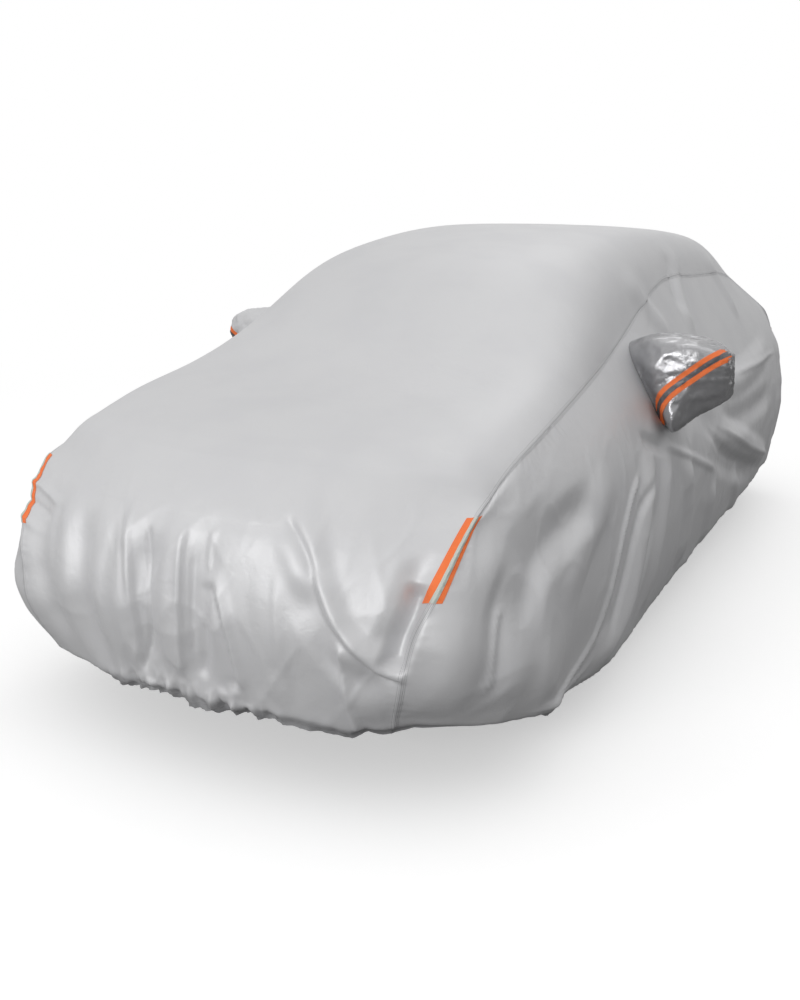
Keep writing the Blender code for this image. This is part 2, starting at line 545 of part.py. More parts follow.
def band(name, line, depths, half_width):
    """The prism that a tape or its strip is cut out with, which isn't a piece of the cover.

    Args:
        name: the name of the cutter.
        line: the middle line of the band, on the cloth or before it.
        depths: two moves from the line, to the prism's near and far side.
        half_width: half the width of the band.
    """
    run = unit(np.gradient(line, axis=0))
    side = unit(np.cross(run, depths[1] - depths[0])) * half_width
    mesh = bmesh.new()
    bmesh.ops.create_grid(mesh, x_segments=len(line) - 1, y_segments=1, size=1.0)
    for index, vertex in enumerate(mesh.verts):
        edge, place = divmod(index, len(line))
        vertex.co = line[place] + side[place] * (2 * edge - 1) + depths[0]
    grown = bmesh.ops.extrude_face_region(mesh, geom=mesh.faces[:])["geom"]
    for vertex in (item for item in grown if isinstance(item, bmesh.types.BMVert)):
        vertex.co += Vector(depths[1] - depths[0])
    bmesh.ops.recalc_face_normals(mesh, faces=mesh.faces)
    made = add_object(name, mesh, None)
    made.hide_render = True
    made.display_type = "WIRE"
    return made


def cut_to_band(piece, line, depths, half_width):
    """Keep only what lies in a band of a piece."""
    cut = piece.modifiers.new("band", "BOOLEAN")
    cut.operation = "INTERSECT"
    cut.object = band(piece.name + "_band", line, depths, half_width)


# Solids -------------------------------------------------------------------------------------

def material(name, colour, metallic, roughness):
    """A Principled material."""
    made = bpy.data.materials.new(name)
    made.use_nodes = True
    shader = made.node_tree.nodes["Principled BSDF"]
    shader.inputs["Base Color"].default_value = (*colour, 1.0)
    shader.inputs["Metallic"].default_value = metallic
    shader.inputs["Roughness"].default_value = roughness
    return made


def grid_skin(points, normals, shift=None, block=None):
    """An open mesh over a grid of points, which remembers their normals.

    Args:
        points: the grid.
        normals: the outward direction at each point.
        shift: how far each point moves once the cells are split, or None.
        block: the cells that are left open, or None.
    """
    columns = points.shape[1]
    mesh = bmesh.new()
    out = mesh.verts.layers.float_vector.new("out")
    bmesh.ops.create_grid(mesh, x_segments=columns - 1, y_segments=len(points) - 1, size=1.0)
    places = {}
    for index, vertex in enumerate(mesh.verts):
        places[vertex] = divmod(index, columns)
        vertex.co = points[places[vertex]]
        vertex[out] = normals[places[vertex]]
    if block:
        first_row, last_row, first_column, last_column = block
        cut = [face for face in mesh.faces
               if all(first_row <= places[vertex][0] <= last_row
                      and first_column <= places[vertex][1] <= last_column
                      for vertex in face.verts)]
        bmesh.ops.delete(mesh, geom=cut, context="FACES_KEEP_BOUNDARY")
    split_cells(mesh)
    if shift is not None:
        for vertex, place in places.items():
            if vertex.is_valid:
                vertex.co += Vector(shift[place])
    return mesh


def split_cells(mesh):
    """Split each four-sided cell along its shorter diagonal, so that all skins split alike."""
    for face in [face for face in mesh.faces if len(face.verts) == 4]:
        a, b, c, d = face.verts
        if (a.co - c.co).length <= (b.co - d.co).length:
            bmesh.utils.face_split(face, a, c)
        else:
            bmesh.utils.face_split(face, b, d)


def shell(name, skin, low, high, finish):
    """The closed sheet between two heights over an open skin, as an object."""
    mesh = skin.copy()
    out = mesh.verts.layers.float_vector["out"]
    grown = bmesh.ops.extrude_face_region(mesh, geom=mesh.faces[:])["geom"]
    lower = {item for item in grown if isinstance(item, bmesh.types.BMVert)}
    for vertex in mesh.verts:
        vertex.co += vertex[out] * (low if vertex in lower else high)
    bmesh.ops.recalc_face_normals(mesh, faces=mesh.faces)
    return add_object(name, mesh, finish)


def add_object(name, mesh, finish):
    """Link a bmesh as an object with its material, moved to the part's own origin."""
    bmesh.ops.translate(mesh, verts=mesh.verts, vec=-Vector(ROOF_REST))
    data = bpy.data.meshes.new(name)
    mesh.to_mesh(data)
    mesh.free()
    data.shade_smooth()
    if finish:
        data.materials.append(finish)
    made = bpy.data.objects.new(name, data)
    bpy.context.collection.objects.link(made)
    return made


def set_back_edges(grid, edges):
    """The moves that pull a grid's seam edges back towards the next line of points."""
    moves = np.zeros_like(grid)
    for edge, inward in edges:
        moves[edge] = unit(grid[inward] - grid[edge]) * SEAM_SETBACK
    return moves


def set_back_hole(grid, block, sign):
    """The moves that pull the rim of a side panel's hole back from the pocket's seam."""
    first_row, last_row, first_column, last_column = block
    moves = np.zeros_like(grid)
    for row in range(first_row, last_row + 1):
        for column in range(first_column, last_column + 1):
            if row in (first_row, last_row) or column in (first_column, last_column):
                moves[row, column] = hole_setback(grid, block, row, column, sign)
    return moves


def build_panels(cloth, top_normals, side_normals, finish):
    """The top panel and the two side panels with their pocket holes."""
    every = slice(None)
    ends = ((every, 0), (every, 1)), ((every, -1), (every, -2))
    moves = set_back_edges(cloth.top, ends)
    shell("top_panel", grid_skin(cloth.top, top_normals, moves), -CLOTH, 0, finish)
    for side, grid in cloth.sides.items():
        corners = ((0, 0), (1, 1)), ((0, -1), (1, -2))
        moves = set_back_edges(grid, (*ends, (0, 1), *corners))
        moves += set_back_hole(grid, cloth.block, SIGNS[side])
        skin = grid_skin(grid, side_normals[side], moves, cloth.block)
        shell(f"side_panel_{side}", skin, -CLOTH, 0, finish)


def build_pocket(side, skin, finishes):
    """A mirror pocket with its tape and the strip on the tape."""
    silver, orange, strip = finishes
    shell(f"mirror_pocket_{side}", skin, -CLOTH, 0, silver)
    path = np.array(POCKET_TAPE_PATH) * (SIGNS[side], 1, 1)
    along = lengths_along(path)
    line = natural_curve(along, path, np.linspace(0, along[-1], 13))
    depths = np.array([(0, reach, 0) for reach in POCKET_TAPE_DEPTH])
    low = CLEARANCE
    for kind, finish, half_width in (("tape", orange, TAPE_HALF_WIDTH),
                                     ("strip", strip, STRIP_HALF_WIDTH)):
        piece = shell(f"mirror_{kind}_{side}", skin, low, low + TAPE, finish)
        cut_to_band(piece, line, depths, half_width)
        low += TAPE + CLEARANCE


def build_corner_tape(cloth, side, end, top_normals, side_normals, finishes):
    """A tape over a corner seam, with the strip on it."""
    _, orange, strip = finishes
    first, last = (cloth.starts[SECTION_NAMES.index(name)] for name in CORNER_TAPES[end])
    points, normals = cloth.corner_patch(side, first, last, top_normals, side_normals[side])
    skin = grid_skin(points, normals)
    shell(f"tape_{end}_{side}", skin, CLEARANCE, CLEARANCE + TAPE, orange)
    low = TAPE + 2 * CLEARANCE
    piece = shell(f"strip_{end}_{side}", skin, low, low + TAPE, strip)
    line = points[:, 1].copy()
    line[[0, -1]] += unit(line[[0, -1]] - line[[1, -2]]) * STRIP_HALF_WIDTH
    outward = unit(normals[:, 1].mean(axis=0))
    cut_to_band(piece, line, np.outer((-0.03, 0.03), outward), STRIP_HALF_WIDTH)


def main():
    """Build every piece of the cover."""
    for old in list(bpy.data.objects):
        bpy.data.objects.remove(old)
    finishes = [material(*finish) for finish in (SILVER_CLOTH, ORANGE_TAPE, SILVER_STRIP)]
    cloth = Cloth()
    cloth.fold(FOLDS)
    top_normals, side_normals = cloth.normals()
    for side, grid in cloth.sides.items():
        skin = pocket_skin(grid, side_normals[side], cloth.block, side)
        build_pocket(side, skin, finishes)
    build_panels(cloth, top_normals, side_normals, finishes[0])
    for side in cloth.sides:
        for end in CORNER_TAPES:
            build_corner_tape(cloth, side, end, top_normals, side_normals, finishes)


main()
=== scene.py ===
"""The finished look of a fitted cover for a compact saloon car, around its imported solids.

One long panel runs from the front hem to the rear hem, and a panel hangs down each side. A mirror
pocket is sewn into each side panel, and reflective tapes lie on the four corner seams and across
the pockets. Every cloth is worked out on the same tables as its solid, on finer lines, and then
gets its creases, seams and gathers.

All sizes are metres. While a cloth is worked out, x is the cover's left, y runs back from its front
and z is the height above the ground. ROOF_REST, a point under the middle of the long panel, is the
origin of the finished pieces.
"""

import logging
import math
from dataclasses import dataclass, field
from enum import Enum
from itertools import product
from typing import NamedTuple, Optional, Sequence, Union

import bmesh
import bpy
import numpy as np
from mathutils import Matrix, Vector
from mathutils.bvhtree import BVHTree


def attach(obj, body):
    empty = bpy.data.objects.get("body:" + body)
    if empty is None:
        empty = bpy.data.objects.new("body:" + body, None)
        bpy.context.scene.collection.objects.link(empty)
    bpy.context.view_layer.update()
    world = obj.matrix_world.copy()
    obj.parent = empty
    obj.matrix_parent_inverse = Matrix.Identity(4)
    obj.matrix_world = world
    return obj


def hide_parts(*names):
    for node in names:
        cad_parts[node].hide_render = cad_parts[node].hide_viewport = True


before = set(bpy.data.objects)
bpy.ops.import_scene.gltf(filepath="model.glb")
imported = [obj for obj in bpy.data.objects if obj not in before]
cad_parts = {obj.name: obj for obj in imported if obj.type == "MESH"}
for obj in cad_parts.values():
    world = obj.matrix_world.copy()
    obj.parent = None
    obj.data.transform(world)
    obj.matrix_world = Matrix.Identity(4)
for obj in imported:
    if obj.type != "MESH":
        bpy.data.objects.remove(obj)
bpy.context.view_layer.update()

LOG = logging.getLogger("cover")

Grid = np.ndarray
Number = Union[float, int]
Splits = Sequence[tuple[int, int]]
Colour = Union[tuple[float, float, float, float], bpy.types.NodeSocket]

TAPE_HALF_WIDTH = 0.025
STRIP_HALF_WIDTH = 0.008
CLOTH_THICKNESS = 0.0010
TAPE_THICKNESS = 0.0007
PANEL_CELLS_ACROSS = 28  # the coarse cells of the top panel, between its long seams
ROOF_REST = (0.0, 2.60, 1.4925)
COVER_MIDDLE = (0.0, 2.2, 0.7)
MIRROR = (-1, 1, 1)
INWARD = -1.0  # the side of a sheet's outer face on which its thickness lies
EDGE_STEPS = (0.08, 0.20, 0.34, 0.54, 0.76, 1.0)  # finer lines beside a seam, as shares of a cell
NEARLY = 1e-9  # keeps a place off the very middle or edge of a cell


class Place(Enum):
    """A place on the cover, which has a word in the names of pieces."""

    @property
    def word(self) -> str:
        """The place's word."""
        return self.name.lower()


class Side(Place):
    """The two sides of the cover, each with the sign of its x."""

    LEFT = 1
    RIGHT = -1


class End(Place):
    """The two ends of the cover, each with the sections between which its tapes lie."""

    FRONT = ("grille", "lip")
    REAR = ("boot lip", "tail")


class Face(Enum):
    """The upright faces of the cover, on which folds are placed."""

    FRONT = "front"
    REAR = "rear"
    LEFT = "left"
    RIGHT = "right"


class Crest(Enum):
    """How a fold runs to its crest: rounded, or with a sharp line."""

    ROUND = "round"
    SHARP = "sharp"


class Section(NamedTuple):
    """A cross section: the cloth on the centre line, the left seam and the run between them."""

    name: str
    mid_y: float
    mid_z: float
    seam_x: float
    seam_y: float
    seam_z: float
    sag: float
    edge: float
    cells: int


class Flank(NamedTuple):
    """The left side panel at a section: its shoulder, belt, sill and hem, each (x, y, z)."""

    section: str
    shoulder: tuple[float, float, float]
    belt: tuple[float, float, float]
    sill: tuple[float, float, float]
    hem: tuple[float, float, float]


class PocketRing(NamedTuple):
    """A ring of the left mirror pocket: its centre, half its depth and half its height."""

    x: float
    y: float
    z: float
    half_depth: float
    half_height: float


SECTIONS = (
    Section("front hem", 0.020, 0.190, 0.570, 0.120, 0.190, 0.5, 4, 3),
    Section("valance", -0.015, 0.380, 0.615, 0.055, 0.390, 0.5, 4, 3),
    Section("bumper", -0.035, 0.520, 0.645, 0.045, 0.532, 0.5, 4, 2),
    Section("grille", -0.020, 0.650, 0.672, 0.090, 0.618, 0.5, 4, 5),
    Section("lip", 0.040, 0.785, 0.720, 0.253, 0.794, 0.4, 5, 1),
    Section("front corner", 0.115, 0.872, 0.722, 0.320, 0.818, 0.1, 12, 3),
    Section("bonnet nose", 0.240, 0.932, 0.722, 0.420, 0.857, 0.1, 12, 3),
    Section("bonnet", 0.490, 0.985, 0.725, 0.620, 0.916, 0.1, 12, 4),
    Section("bonnet rear", 0.790, 1.046, 0.712, 0.900, 0.967, 0.1, 13, 4),
    Section("screen foot", 0.990, 1.162, 0.692, 1.230, 1.026, 0.1, 13, 4),
    Section("screen low", 1.260, 1.330, 0.670, 1.570, 1.104, 0.1, 12, 4),
    Section("screen high", 1.660, 1.436, 0.640, 1.950, 1.209, 0.1, 10, 4),
    Section("roof front", 2.200, 1.490, 0.610, 2.380, 1.287, 0.1, 9, 4),
    Section("roof", 2.650, 1.495, 0.600, 2.750, 1.284, 0.1, 9, 4),
    Section("roof rear", 3.200, 1.478, 0.600, 3.220, 1.273, 0.1, 9, 4),
    Section("rear screen", 3.700, 1.400, 0.600, 3.640, 1.252, 0.1, 8, 3),
    Section("boot front", 4.050, 1.232, 0.620, 3.950, 1.180, 0.2, 6, 2),
    Section("boot", 4.280, 1.110, 0.680, 4.200, 1.082, 0.3, 6, 2),
    Section("rear corner", 4.430, 1.035, 0.715, 4.330, 1.010, 0.4, 5, 1),
    Section("boot lip", 4.500, 0.960, 0.735, 4.390, 0.930, 0.5, 4, 5),
    Section("tail", 4.530, 0.740, 0.750, 4.430, 0.720, 0.5, 4, 4),
    Section("rear bumper", 4.545, 0.480, 0.745, 4.425, 0.460, 0.5, 4, 4),
    Section("rear hem", 4.460, 0.200, 0.670, 4.340, 0.200, 0.5, 4, 0),
)

FLANKS = (
    Flank("front corner", (0.690, 0.140, 0.685), (0.645, 0.045, 0.532),
          (0.615, 0.055, 0.390), (0.570, 0.120, 0.190)),
    Flank("bonnet nose", (0.752, 0.310, 0.740), (0.795, 0.235, 0.560),
          (0.835, 0.245, 0.370), (0.800, 0.345, 0.188)),
    Flank("bonnet", (0.800, 0.570, 0.790), (0.862, 0.535, 0.580),
          (0.882, 0.545, 0.360), (0.850, 0.580, 0.152)),
    Flank("bonnet rear", (0.820, 0.900, 0.830), (0.885, 0.900, 0.600),
          (0.895, 0.900, 0.360), (0.868, 0.900, 0.120)),
    Flank("screen foot", (0.810, 1.230, 0.870), (0.885, 1.230, 0.620),
          (0.897, 1.230, 0.360), (0.866, 1.220, 0.110)),
    Flank("screen low", (0.800, 1.570, 0.900), (0.885, 1.570, 0.640),
          (0.892, 1.570, 0.380), (0.852, 1.570, 0.118)),
    Flank("screen high", (0.785, 1.930, 0.940), (0.885, 1.910, 0.660),
          (0.890, 1.900, 0.400), (0.850, 1.880, 0.132)),
    Flank("roof front", (0.775, 2.340, 0.970), (0.885, 2.310, 0.680),
          (0.887, 2.300, 0.400), (0.845, 2.280, 0.140)),
    Flank("roof", (0.770, 2.730, 0.970), (0.885, 2.720, 0.680),
          (0.885, 2.720, 0.400), (0.842, 2.720, 0.145)),
    Flank("roof rear", (0.770, 3.200, 0.970), (0.882, 3.200, 0.680),
          (0.882, 3.200, 0.400), (0.840, 3.200, 0.150)),
    Flank("rear screen", (0.770, 3.620, 0.965), (0.872, 3.610, 0.680),
          (0.877, 3.600, 0.420), (0.838, 3.600, 0.160)),
    Flank("boot front", (0.775, 3.940, 0.940), (0.862, 3.910, 0.680),
          (0.866, 3.900, 0.420), (0.832, 3.880, 0.170)),
    Flank("boot", (0.780, 4.190, 0.900), (0.835, 4.160, 0.680),
          (0.842, 4.140, 0.430), (0.800, 4.110, 0.180)),
    Flank("rear corner", (0.743, 4.410, 0.850), (0.750, 4.432, 0.670),
          (0.743, 4.422, 0.430), (0.670, 4.340, 0.200)),
)

POCKET_RINGS = (
    PocketRing(0.750, 1.715, 0.950, 0.130, 0.152),
    PocketRing(0.830, 1.690, 0.975, 0.115, 0.152),
    PocketRing(0.910, 1.672, 0.990, 0.104, 0.138),
    PocketRing(0.985, 1.665, 0.998, 0.092, 0.112),
    PocketRing(1.038, 1.668, 1.003, 0.070, 0.078),
)
POCKET_SECTION = "screen low"
POCKET_ROW = 1
POCKET_BLOCK = (4, 3)  # the coarse cells that it covers down, and along, its side panel
POCKET_SPREAD = 3.5  # how many cells away the side panel still draws in towards it
POCKET_SQUARENESS = 2.6  # exponent of its outline: 2 is an ellipse, more is squarer
POCKET_TIP = 0.012  # how far its cap bulges
POCKET_SHIFTS = {Side.LEFT: (0.0, 0.0, 0.0), Side.RIGHT: (0.025, 0.010, 0.015)}

# The tape across the front of the left pocket, and how far the end of each one hangs down.
POCKET_TAPE_PATH = ((0.812, 1.55, 0.775), (0.830, 1.55, 0.880), (0.870, 1.55, 0.965),
                    (0.950, 1.55, 1.020), (1.055, 1.55, 1.095))
POCKET_TAPE_SLUMP = {Side.LEFT: 0.0, Side.RIGHT: 0.070}
POCKET_TAPE_FOOT = 0.815  # its x at the seam
POCKET_TAPE_BACK = 1.78  # it stops short of this y
POCKET_BEFORE = 1.35  # a y before the pocket
POCKET_MIDDLE = (1.69, 0.98)  # the (y, z) that its folds run out from
POCKET_SEAM = (1.7, 0.95, 0.14)  # the (y, z) that its stitches run round, and their radius
POCKET_SEEDS = {Side.LEFT: 17, Side.RIGHT: 57}
FAR_FROM_HEM = 1.0


# Curves and surfaces ------------------------------------------------------------------------

def natural_curve(knots: Grid, rows: Grid, places: Grid) -> Grid:
    """Natural cubic curve through the rows, one for each knot, read at the places.

    Args:
        knots: the places of the rows along the curve.
        rows: the values that the curve runs through, a row for each knot.
        places: where the curve is read.

    Returns:
        A row of values for each place.
    """
    count = len(knots)
    step = np.diff(knots)
    system = np.eye(count)
    turn = np.zeros_like(rows)
    for i in range(1, count - 1):
        system[i, i - 1:i + 2] = step[i - 1], 2 * (step[i - 1] + step[i]), step[i]
        turn[i] = 6 * ((rows[i + 1] - rows[i]) / step[i] - (rows[i] - rows[i - 1]) / step[i - 1])
    bend = np.linalg.solve(system, turn)
    i = np.clip(np.searchsorted(knots, places, side="right") - 1, 0, count - 2)
    after = (places - knots[i])[:, None]
    before = (knots[i + 1] - places)[:, None]
    width = step[i][:, None]
    return ((bend[i] * before**3 + bend[i + 1] * after**3) / (6 * width)
            + (rows[i] / width - bend[i] * width / 6) * before
            + (rows[i + 1] / width - bend[i + 1] * width / 6) * after)


def lengths_along(points: Grid) -> Grid:
    """Distance of each point from the first, along the points."""
    steps = np.linalg.norm(np.diff(points, axis=0), axis=-1)
    return np.concatenate([np.zeros_like(steps[:1]), np.cumsum(steps, axis=0)])


def points_at(points: Grid, distances: Grid) -> Grid:
    """The points at the given distances along a polyline."""
    along = lengths_along(points)
    return np.stack([np.interp(distances, along, points[:, axis]) for axis in range(3)], axis=1)


def unit(vectors: Grid) -> Grid:
    """The vectors at length one."""
    return vectors / np.maximum(np.linalg.norm(vectors, axis=-1, keepdims=True), 1e-12)


def smooth_step(low: float, high: float, value: Union[Grid, float]) -> Union[Grid, float]:
    """0 below low, 1 above high, and a soft rise between."""
    share = np.clip((value - low) / (high - low), 0.0, 1.0)
    return share * share * (3 - 2 * share)


def grid_normals(grid: Grid) -> Grid:
    """Normals of a grid, on the side from which its rows turn left onto its columns."""
    return unit(np.cross(np.gradient(grid, axis=1), np.gradient(grid, axis=0)))


def split_places(splits: Splits, edges: bool = False) -> Grid:
    """The places of the fine lines, counted in cells of the coarse grid.

    Args:
        splits: pairs of how many coarse cells follow, and the fine lines in each.
        edges: whether the first and the last cell have the finer lines of a seam.

    Returns:
        The place of each fine line, from 0.
    """
    places = [0.0]
    for cells, lines in splits:
        for _ in range(cells):
            start = round(places[-1])
            places.extend(start + (line + 1) / lines for line in range(lines))
    if edges:
        last = round(places[-1])
        inner = [place for place in places if 1 < place < last - 1 + 1e-6]
        first = [0.0, *EDGE_STEPS]
        places = first + inner + [last - step for step in first]
    return np.unique(np.round(places, 9))


def refine(grid: Grid, row_places: Grid, column_places: Grid) -> Grid:
    """A coarse grid on finer lines, along natural curves through its points.

    Args:
        grid: the coarse grid.
        row_places: the places of the fine rows, in coarse rows.
        column_places: the places of the fine columns, in coarse columns.

    Returns:
        The fine grid.
    """
    rows, columns = grid.shape[:2]
    knots = np.arange(rows, dtype=float)
    across = natural_curve(knots, grid.reshape(rows, -1), row_places)
    across = across.reshape(len(row_places), columns, 3).transpose(1, 0, 2)
    knots = np.arange(columns, dtype=float)
    fine = natural_curve(knots, across.reshape(columns, -1), column_places)
    return fine.reshape(len(column_places), len(row_places), 3).transpose(1, 0, 2)


def sample(grid: Grid, row_places: Grid, column_places: Grid, rows: Grid, columns: Grid) -> Grid:
    """Read a fine grid between its lines.

    Args:
        grid: the fine grid.
        row_places: the places of its rows.
        column_places: the places of its columns.
        rows: the row places to read, of any shape.
        columns: the column places to read, of the same shape.

    Returns:
        The grid's values at those places.
    """
    i = np.clip(np.searchsorted(row_places, rows, side="right") - 1, 0, len(row_places) - 2)
    j = np.clip(np.searchsorted(column_places, columns, side="right") - 1, 0,
                len(column_places) - 2)
    s = ((rows - row_places[i]) / (row_places[i + 1] - row_places[i]))[..., None]
    t = ((columns - column_places[j]) / (column_places[j + 1] - column_places[j]))[..., None]
    near = grid[i, j] * (1 - t) + grid[i, j + 1] * t
    far = grid[i + 1, j] * (1 - t) + grid[i + 1, j + 1] * t
    return near * (1 - s) + far * s


# Spread the middles of the hollows about in their cells, without a pattern.
SCATTER = 43758.5453
SCATTER_TURNS = np.array([[12.9898, 78.233, 37.719], [39.346, 11.135, 83.155],
                          [73.156, 52.235, 9.151]])


def waves(points: Grid, lengths: tuple[float, float], count: int, seed: int) -> Grid:
    """A soft uneven field made of crossing waves, between about -1 and 1.

    Args:
        points: where the field is read.
        lengths: the shortest and the longest wave, in metres.
        count: how many waves cross.
        seed: fixes the waves.

    Returns:
        The field's value at each point.
    """
    chance = np.random.default_rng(seed)
    field_sum = np.zeros(points.shape[:-1])
    for _ in range(count):
        run = unit(chance.normal(size=3)) * 2 * math.pi / chance.uniform(*lengths)
        field_sum += np.sin(points @ run + chance.uniform(0, 2 * math.pi))
    return field_sum / math.sqrt(count) / 1.4


def crumples(points: Grid, size: float, seed: float) -> Grid:
    """A field of sharp ridges between hollows of about one size, from 0 to 1.

    Args:
        points: where the field is read.
        size: the size of a hollow, in metres.
        seed: fixes the ridges.

    Returns:
        The field's value at each point.
    """
    places = points / size + seed
    cells = np.floor(places)
    nearest = np.full(points.shape[:-1], math.inf)
    second = nearest.copy()
    for step in product((-1, 0, 1), repeat=3):
        cell = cells + step
        jitter = np.sin(cell @ SCATTER_TURNS) * SCATTER
        away = np.linalg.norm(places - cell - (jitter - np.floor(jitter)), axis=-1)
        second = np.minimum(second, np.maximum(nearest, away))
        nearest = np.minimum(nearest, away)
    return np.clip(1 - 1.7 * (second - nearest), 0, 1)


def creased(points: Grid, lengths: tuple[float, float], count: int, seed: int) -> Grid:
    """A field of sharp ridges with flat hollows between them, from 0 to 1.2.

    Args:
        points: where the field is read.
        lengths: the shortest and the longest wave between the ridges, in metres.
        count: how many sets of ridges cross.
        seed: fixes the ridges.

    Returns:
        The field's value at each point.
    """
    total = np.zeros(points.shape[:-1])
    for index in range(count):
        bent = waves(points, lengths, 5, seed + index)
        total += np.clip(1 - np.abs(bent) * 2.2, 0, 1) ** 2
    return np.clip(total / max(count - 1, 1), 0, 1.2)


# Folds --------------------------------------------------------------------------------------

class FaceFrame(NamedTuple):
    """How far points belong to a face of the cover, and their two places on it."""

    share: Grid
    flat: Grid


def face_frame(points: Grid, face: Face) -> FaceFrame:
    """The share and the places of points on one face of the cover.

    Args:
        points: any array of points.
        face: the face.

    Returns:
        The share, from 0 to 1, and the two places of each point.
    """
    x, y, z = points[..., 0], points[..., 1], points[..., 2]
    if face is Face.FRONT:
        return FaceFrame(1 - smooth_step(0.35, 0.60, y), np.stack([x, z], axis=-1))
    if face is Face.REAR:
        return FaceFrame(smooth_step(4.05, 4.25, y), np.stack([x, z], axis=-1))
    outward = x if face is Face.LEFT else -x
    return FaceFrame(smooth_step(0.40, 0.55, outward), np.stack([y, z], axis=-1))


def drawn_in(front: FaceFrame) -> Grid:
    """How far the front hem is drawn in at each point, from 0 to 1."""
    place = front.flat[..., 0]
    return front.share * smooth_step(-0.40, -0.22, place) * (1 - smooth_step(0.10, 0.36, place))


PATH_POINTS = 25  # on the curve along a fold


@dataclass(frozen=True)
class Fold:
    """A fold in the cloth: a ridge, or a trough where its height is less than zero.

    Attributes:
        face: the face it lies on.
        height: how far its crest stands out.
        near: its half width on the left of its path.
        far: its half width on the right of its path.
        path: the places that it runs through on its face.
        crest: rounded or sharp.
        fade: the share of its length over which each end runs out.
    """

    face: Face
    height: float
    near: float
    far: float
    path: tuple[tuple[float, float], ...]
    crest: Crest = Crest.ROUND
    fade: float = 0.25

    def heights(self, here: FaceFrame) -> Grid:
        """How far the fold moves each point of a face.

        Args:
            here: the points' share and places on the face.

        Returns:
            The fold's height at each point.
        """
        path = np.array(self.path, float)
        length = lengths_along(path)
        fine = natural_curve(length, path, np.linspace(0, length[-1], PATH_POINTS))
        reach = max(self.near, self.far)
        low, high = fine.min(axis=0) - reach, fine.max(axis=0) + reach
        near_by = np.all((here.flat > low) & (here.flat < high), axis=-1) & (here.share > 0)
        found = np.zeros(here.share.shape)
        flat = here.flat[near_by]
        nearest = np.full(len(flat), np.inf)
        along, side = np.zeros(len(flat)), np.zeros(len(flat))
        for i in range(len(fine) - 1):
            run = fine[i + 1] - fine[i]
            away = flat - fine[i]
            step = np.clip((away @ run) / (run @ run), 0, 1)
            distance = np.linalg.norm(away - step[:, None] * run, axis=-1)
            closer = distance < nearest
            nearest = np.where(closer, distance, nearest)
            along = np.where(closer, (i + step) / (len(fine) - 1), along)
            side = np.where(closer, run[0] * away[:, 1] - run[1] * away[:, 0], side)
        share = np.clip(nearest / np.where(side > 0, self.near, self.far), 0, 1)
        rounded = 0.5 + 0.5 * np.cos(np.pi * share)
        crest = rounded if self.crest is Crest.ROUND else (1 - share) ** 2
        ends = smooth_step(0, self.fade, along) * smooth_step(0, self.fade, 1 - along)
        found[near_by] = self.height * here.share[near_by] * crest * ends
        return found


class Swell(NamedTuple):
    """A soft swelling on the left, and a weaker one on the right: its middle, reach and move."""

    middle: tuple[float, float, float]
    reach: tuple[float, float, float]
    move: tuple[float, float, float]
    right_share: float = 0.4

    def moves(self, points: Grid) -> Grid:
        """How far the swelling moves each point.

        Args:
            points: any array of points.

        Returns:
            The move of each point.
        """
        ones = np.ones(points.shape[:-1])
        turn = np.stack([np.sign(points[..., 0]), ones, ones], axis=-1)
        away = (points * turn - self.middle) / np.array(self.reach)
        share = np.where(points[..., 0] > 0, 1.0, self.right_share)
        share = np.exp(-(away**2).sum(axis=-1)) * share
        return share[..., None] * np.array(self.move) * turn


FRONT, REAR, LEFT, RIGHT = Face
SHARP = Crest.SHARP


def folds(face: Face, half_width: float, *rows: tuple) -> list[Fold]:
    """Rounded folds as wide on both sides: each row has a height, and then its path."""
    return [Fold(face, row[0], half_width, half_width, row[1:]) for row in rows]


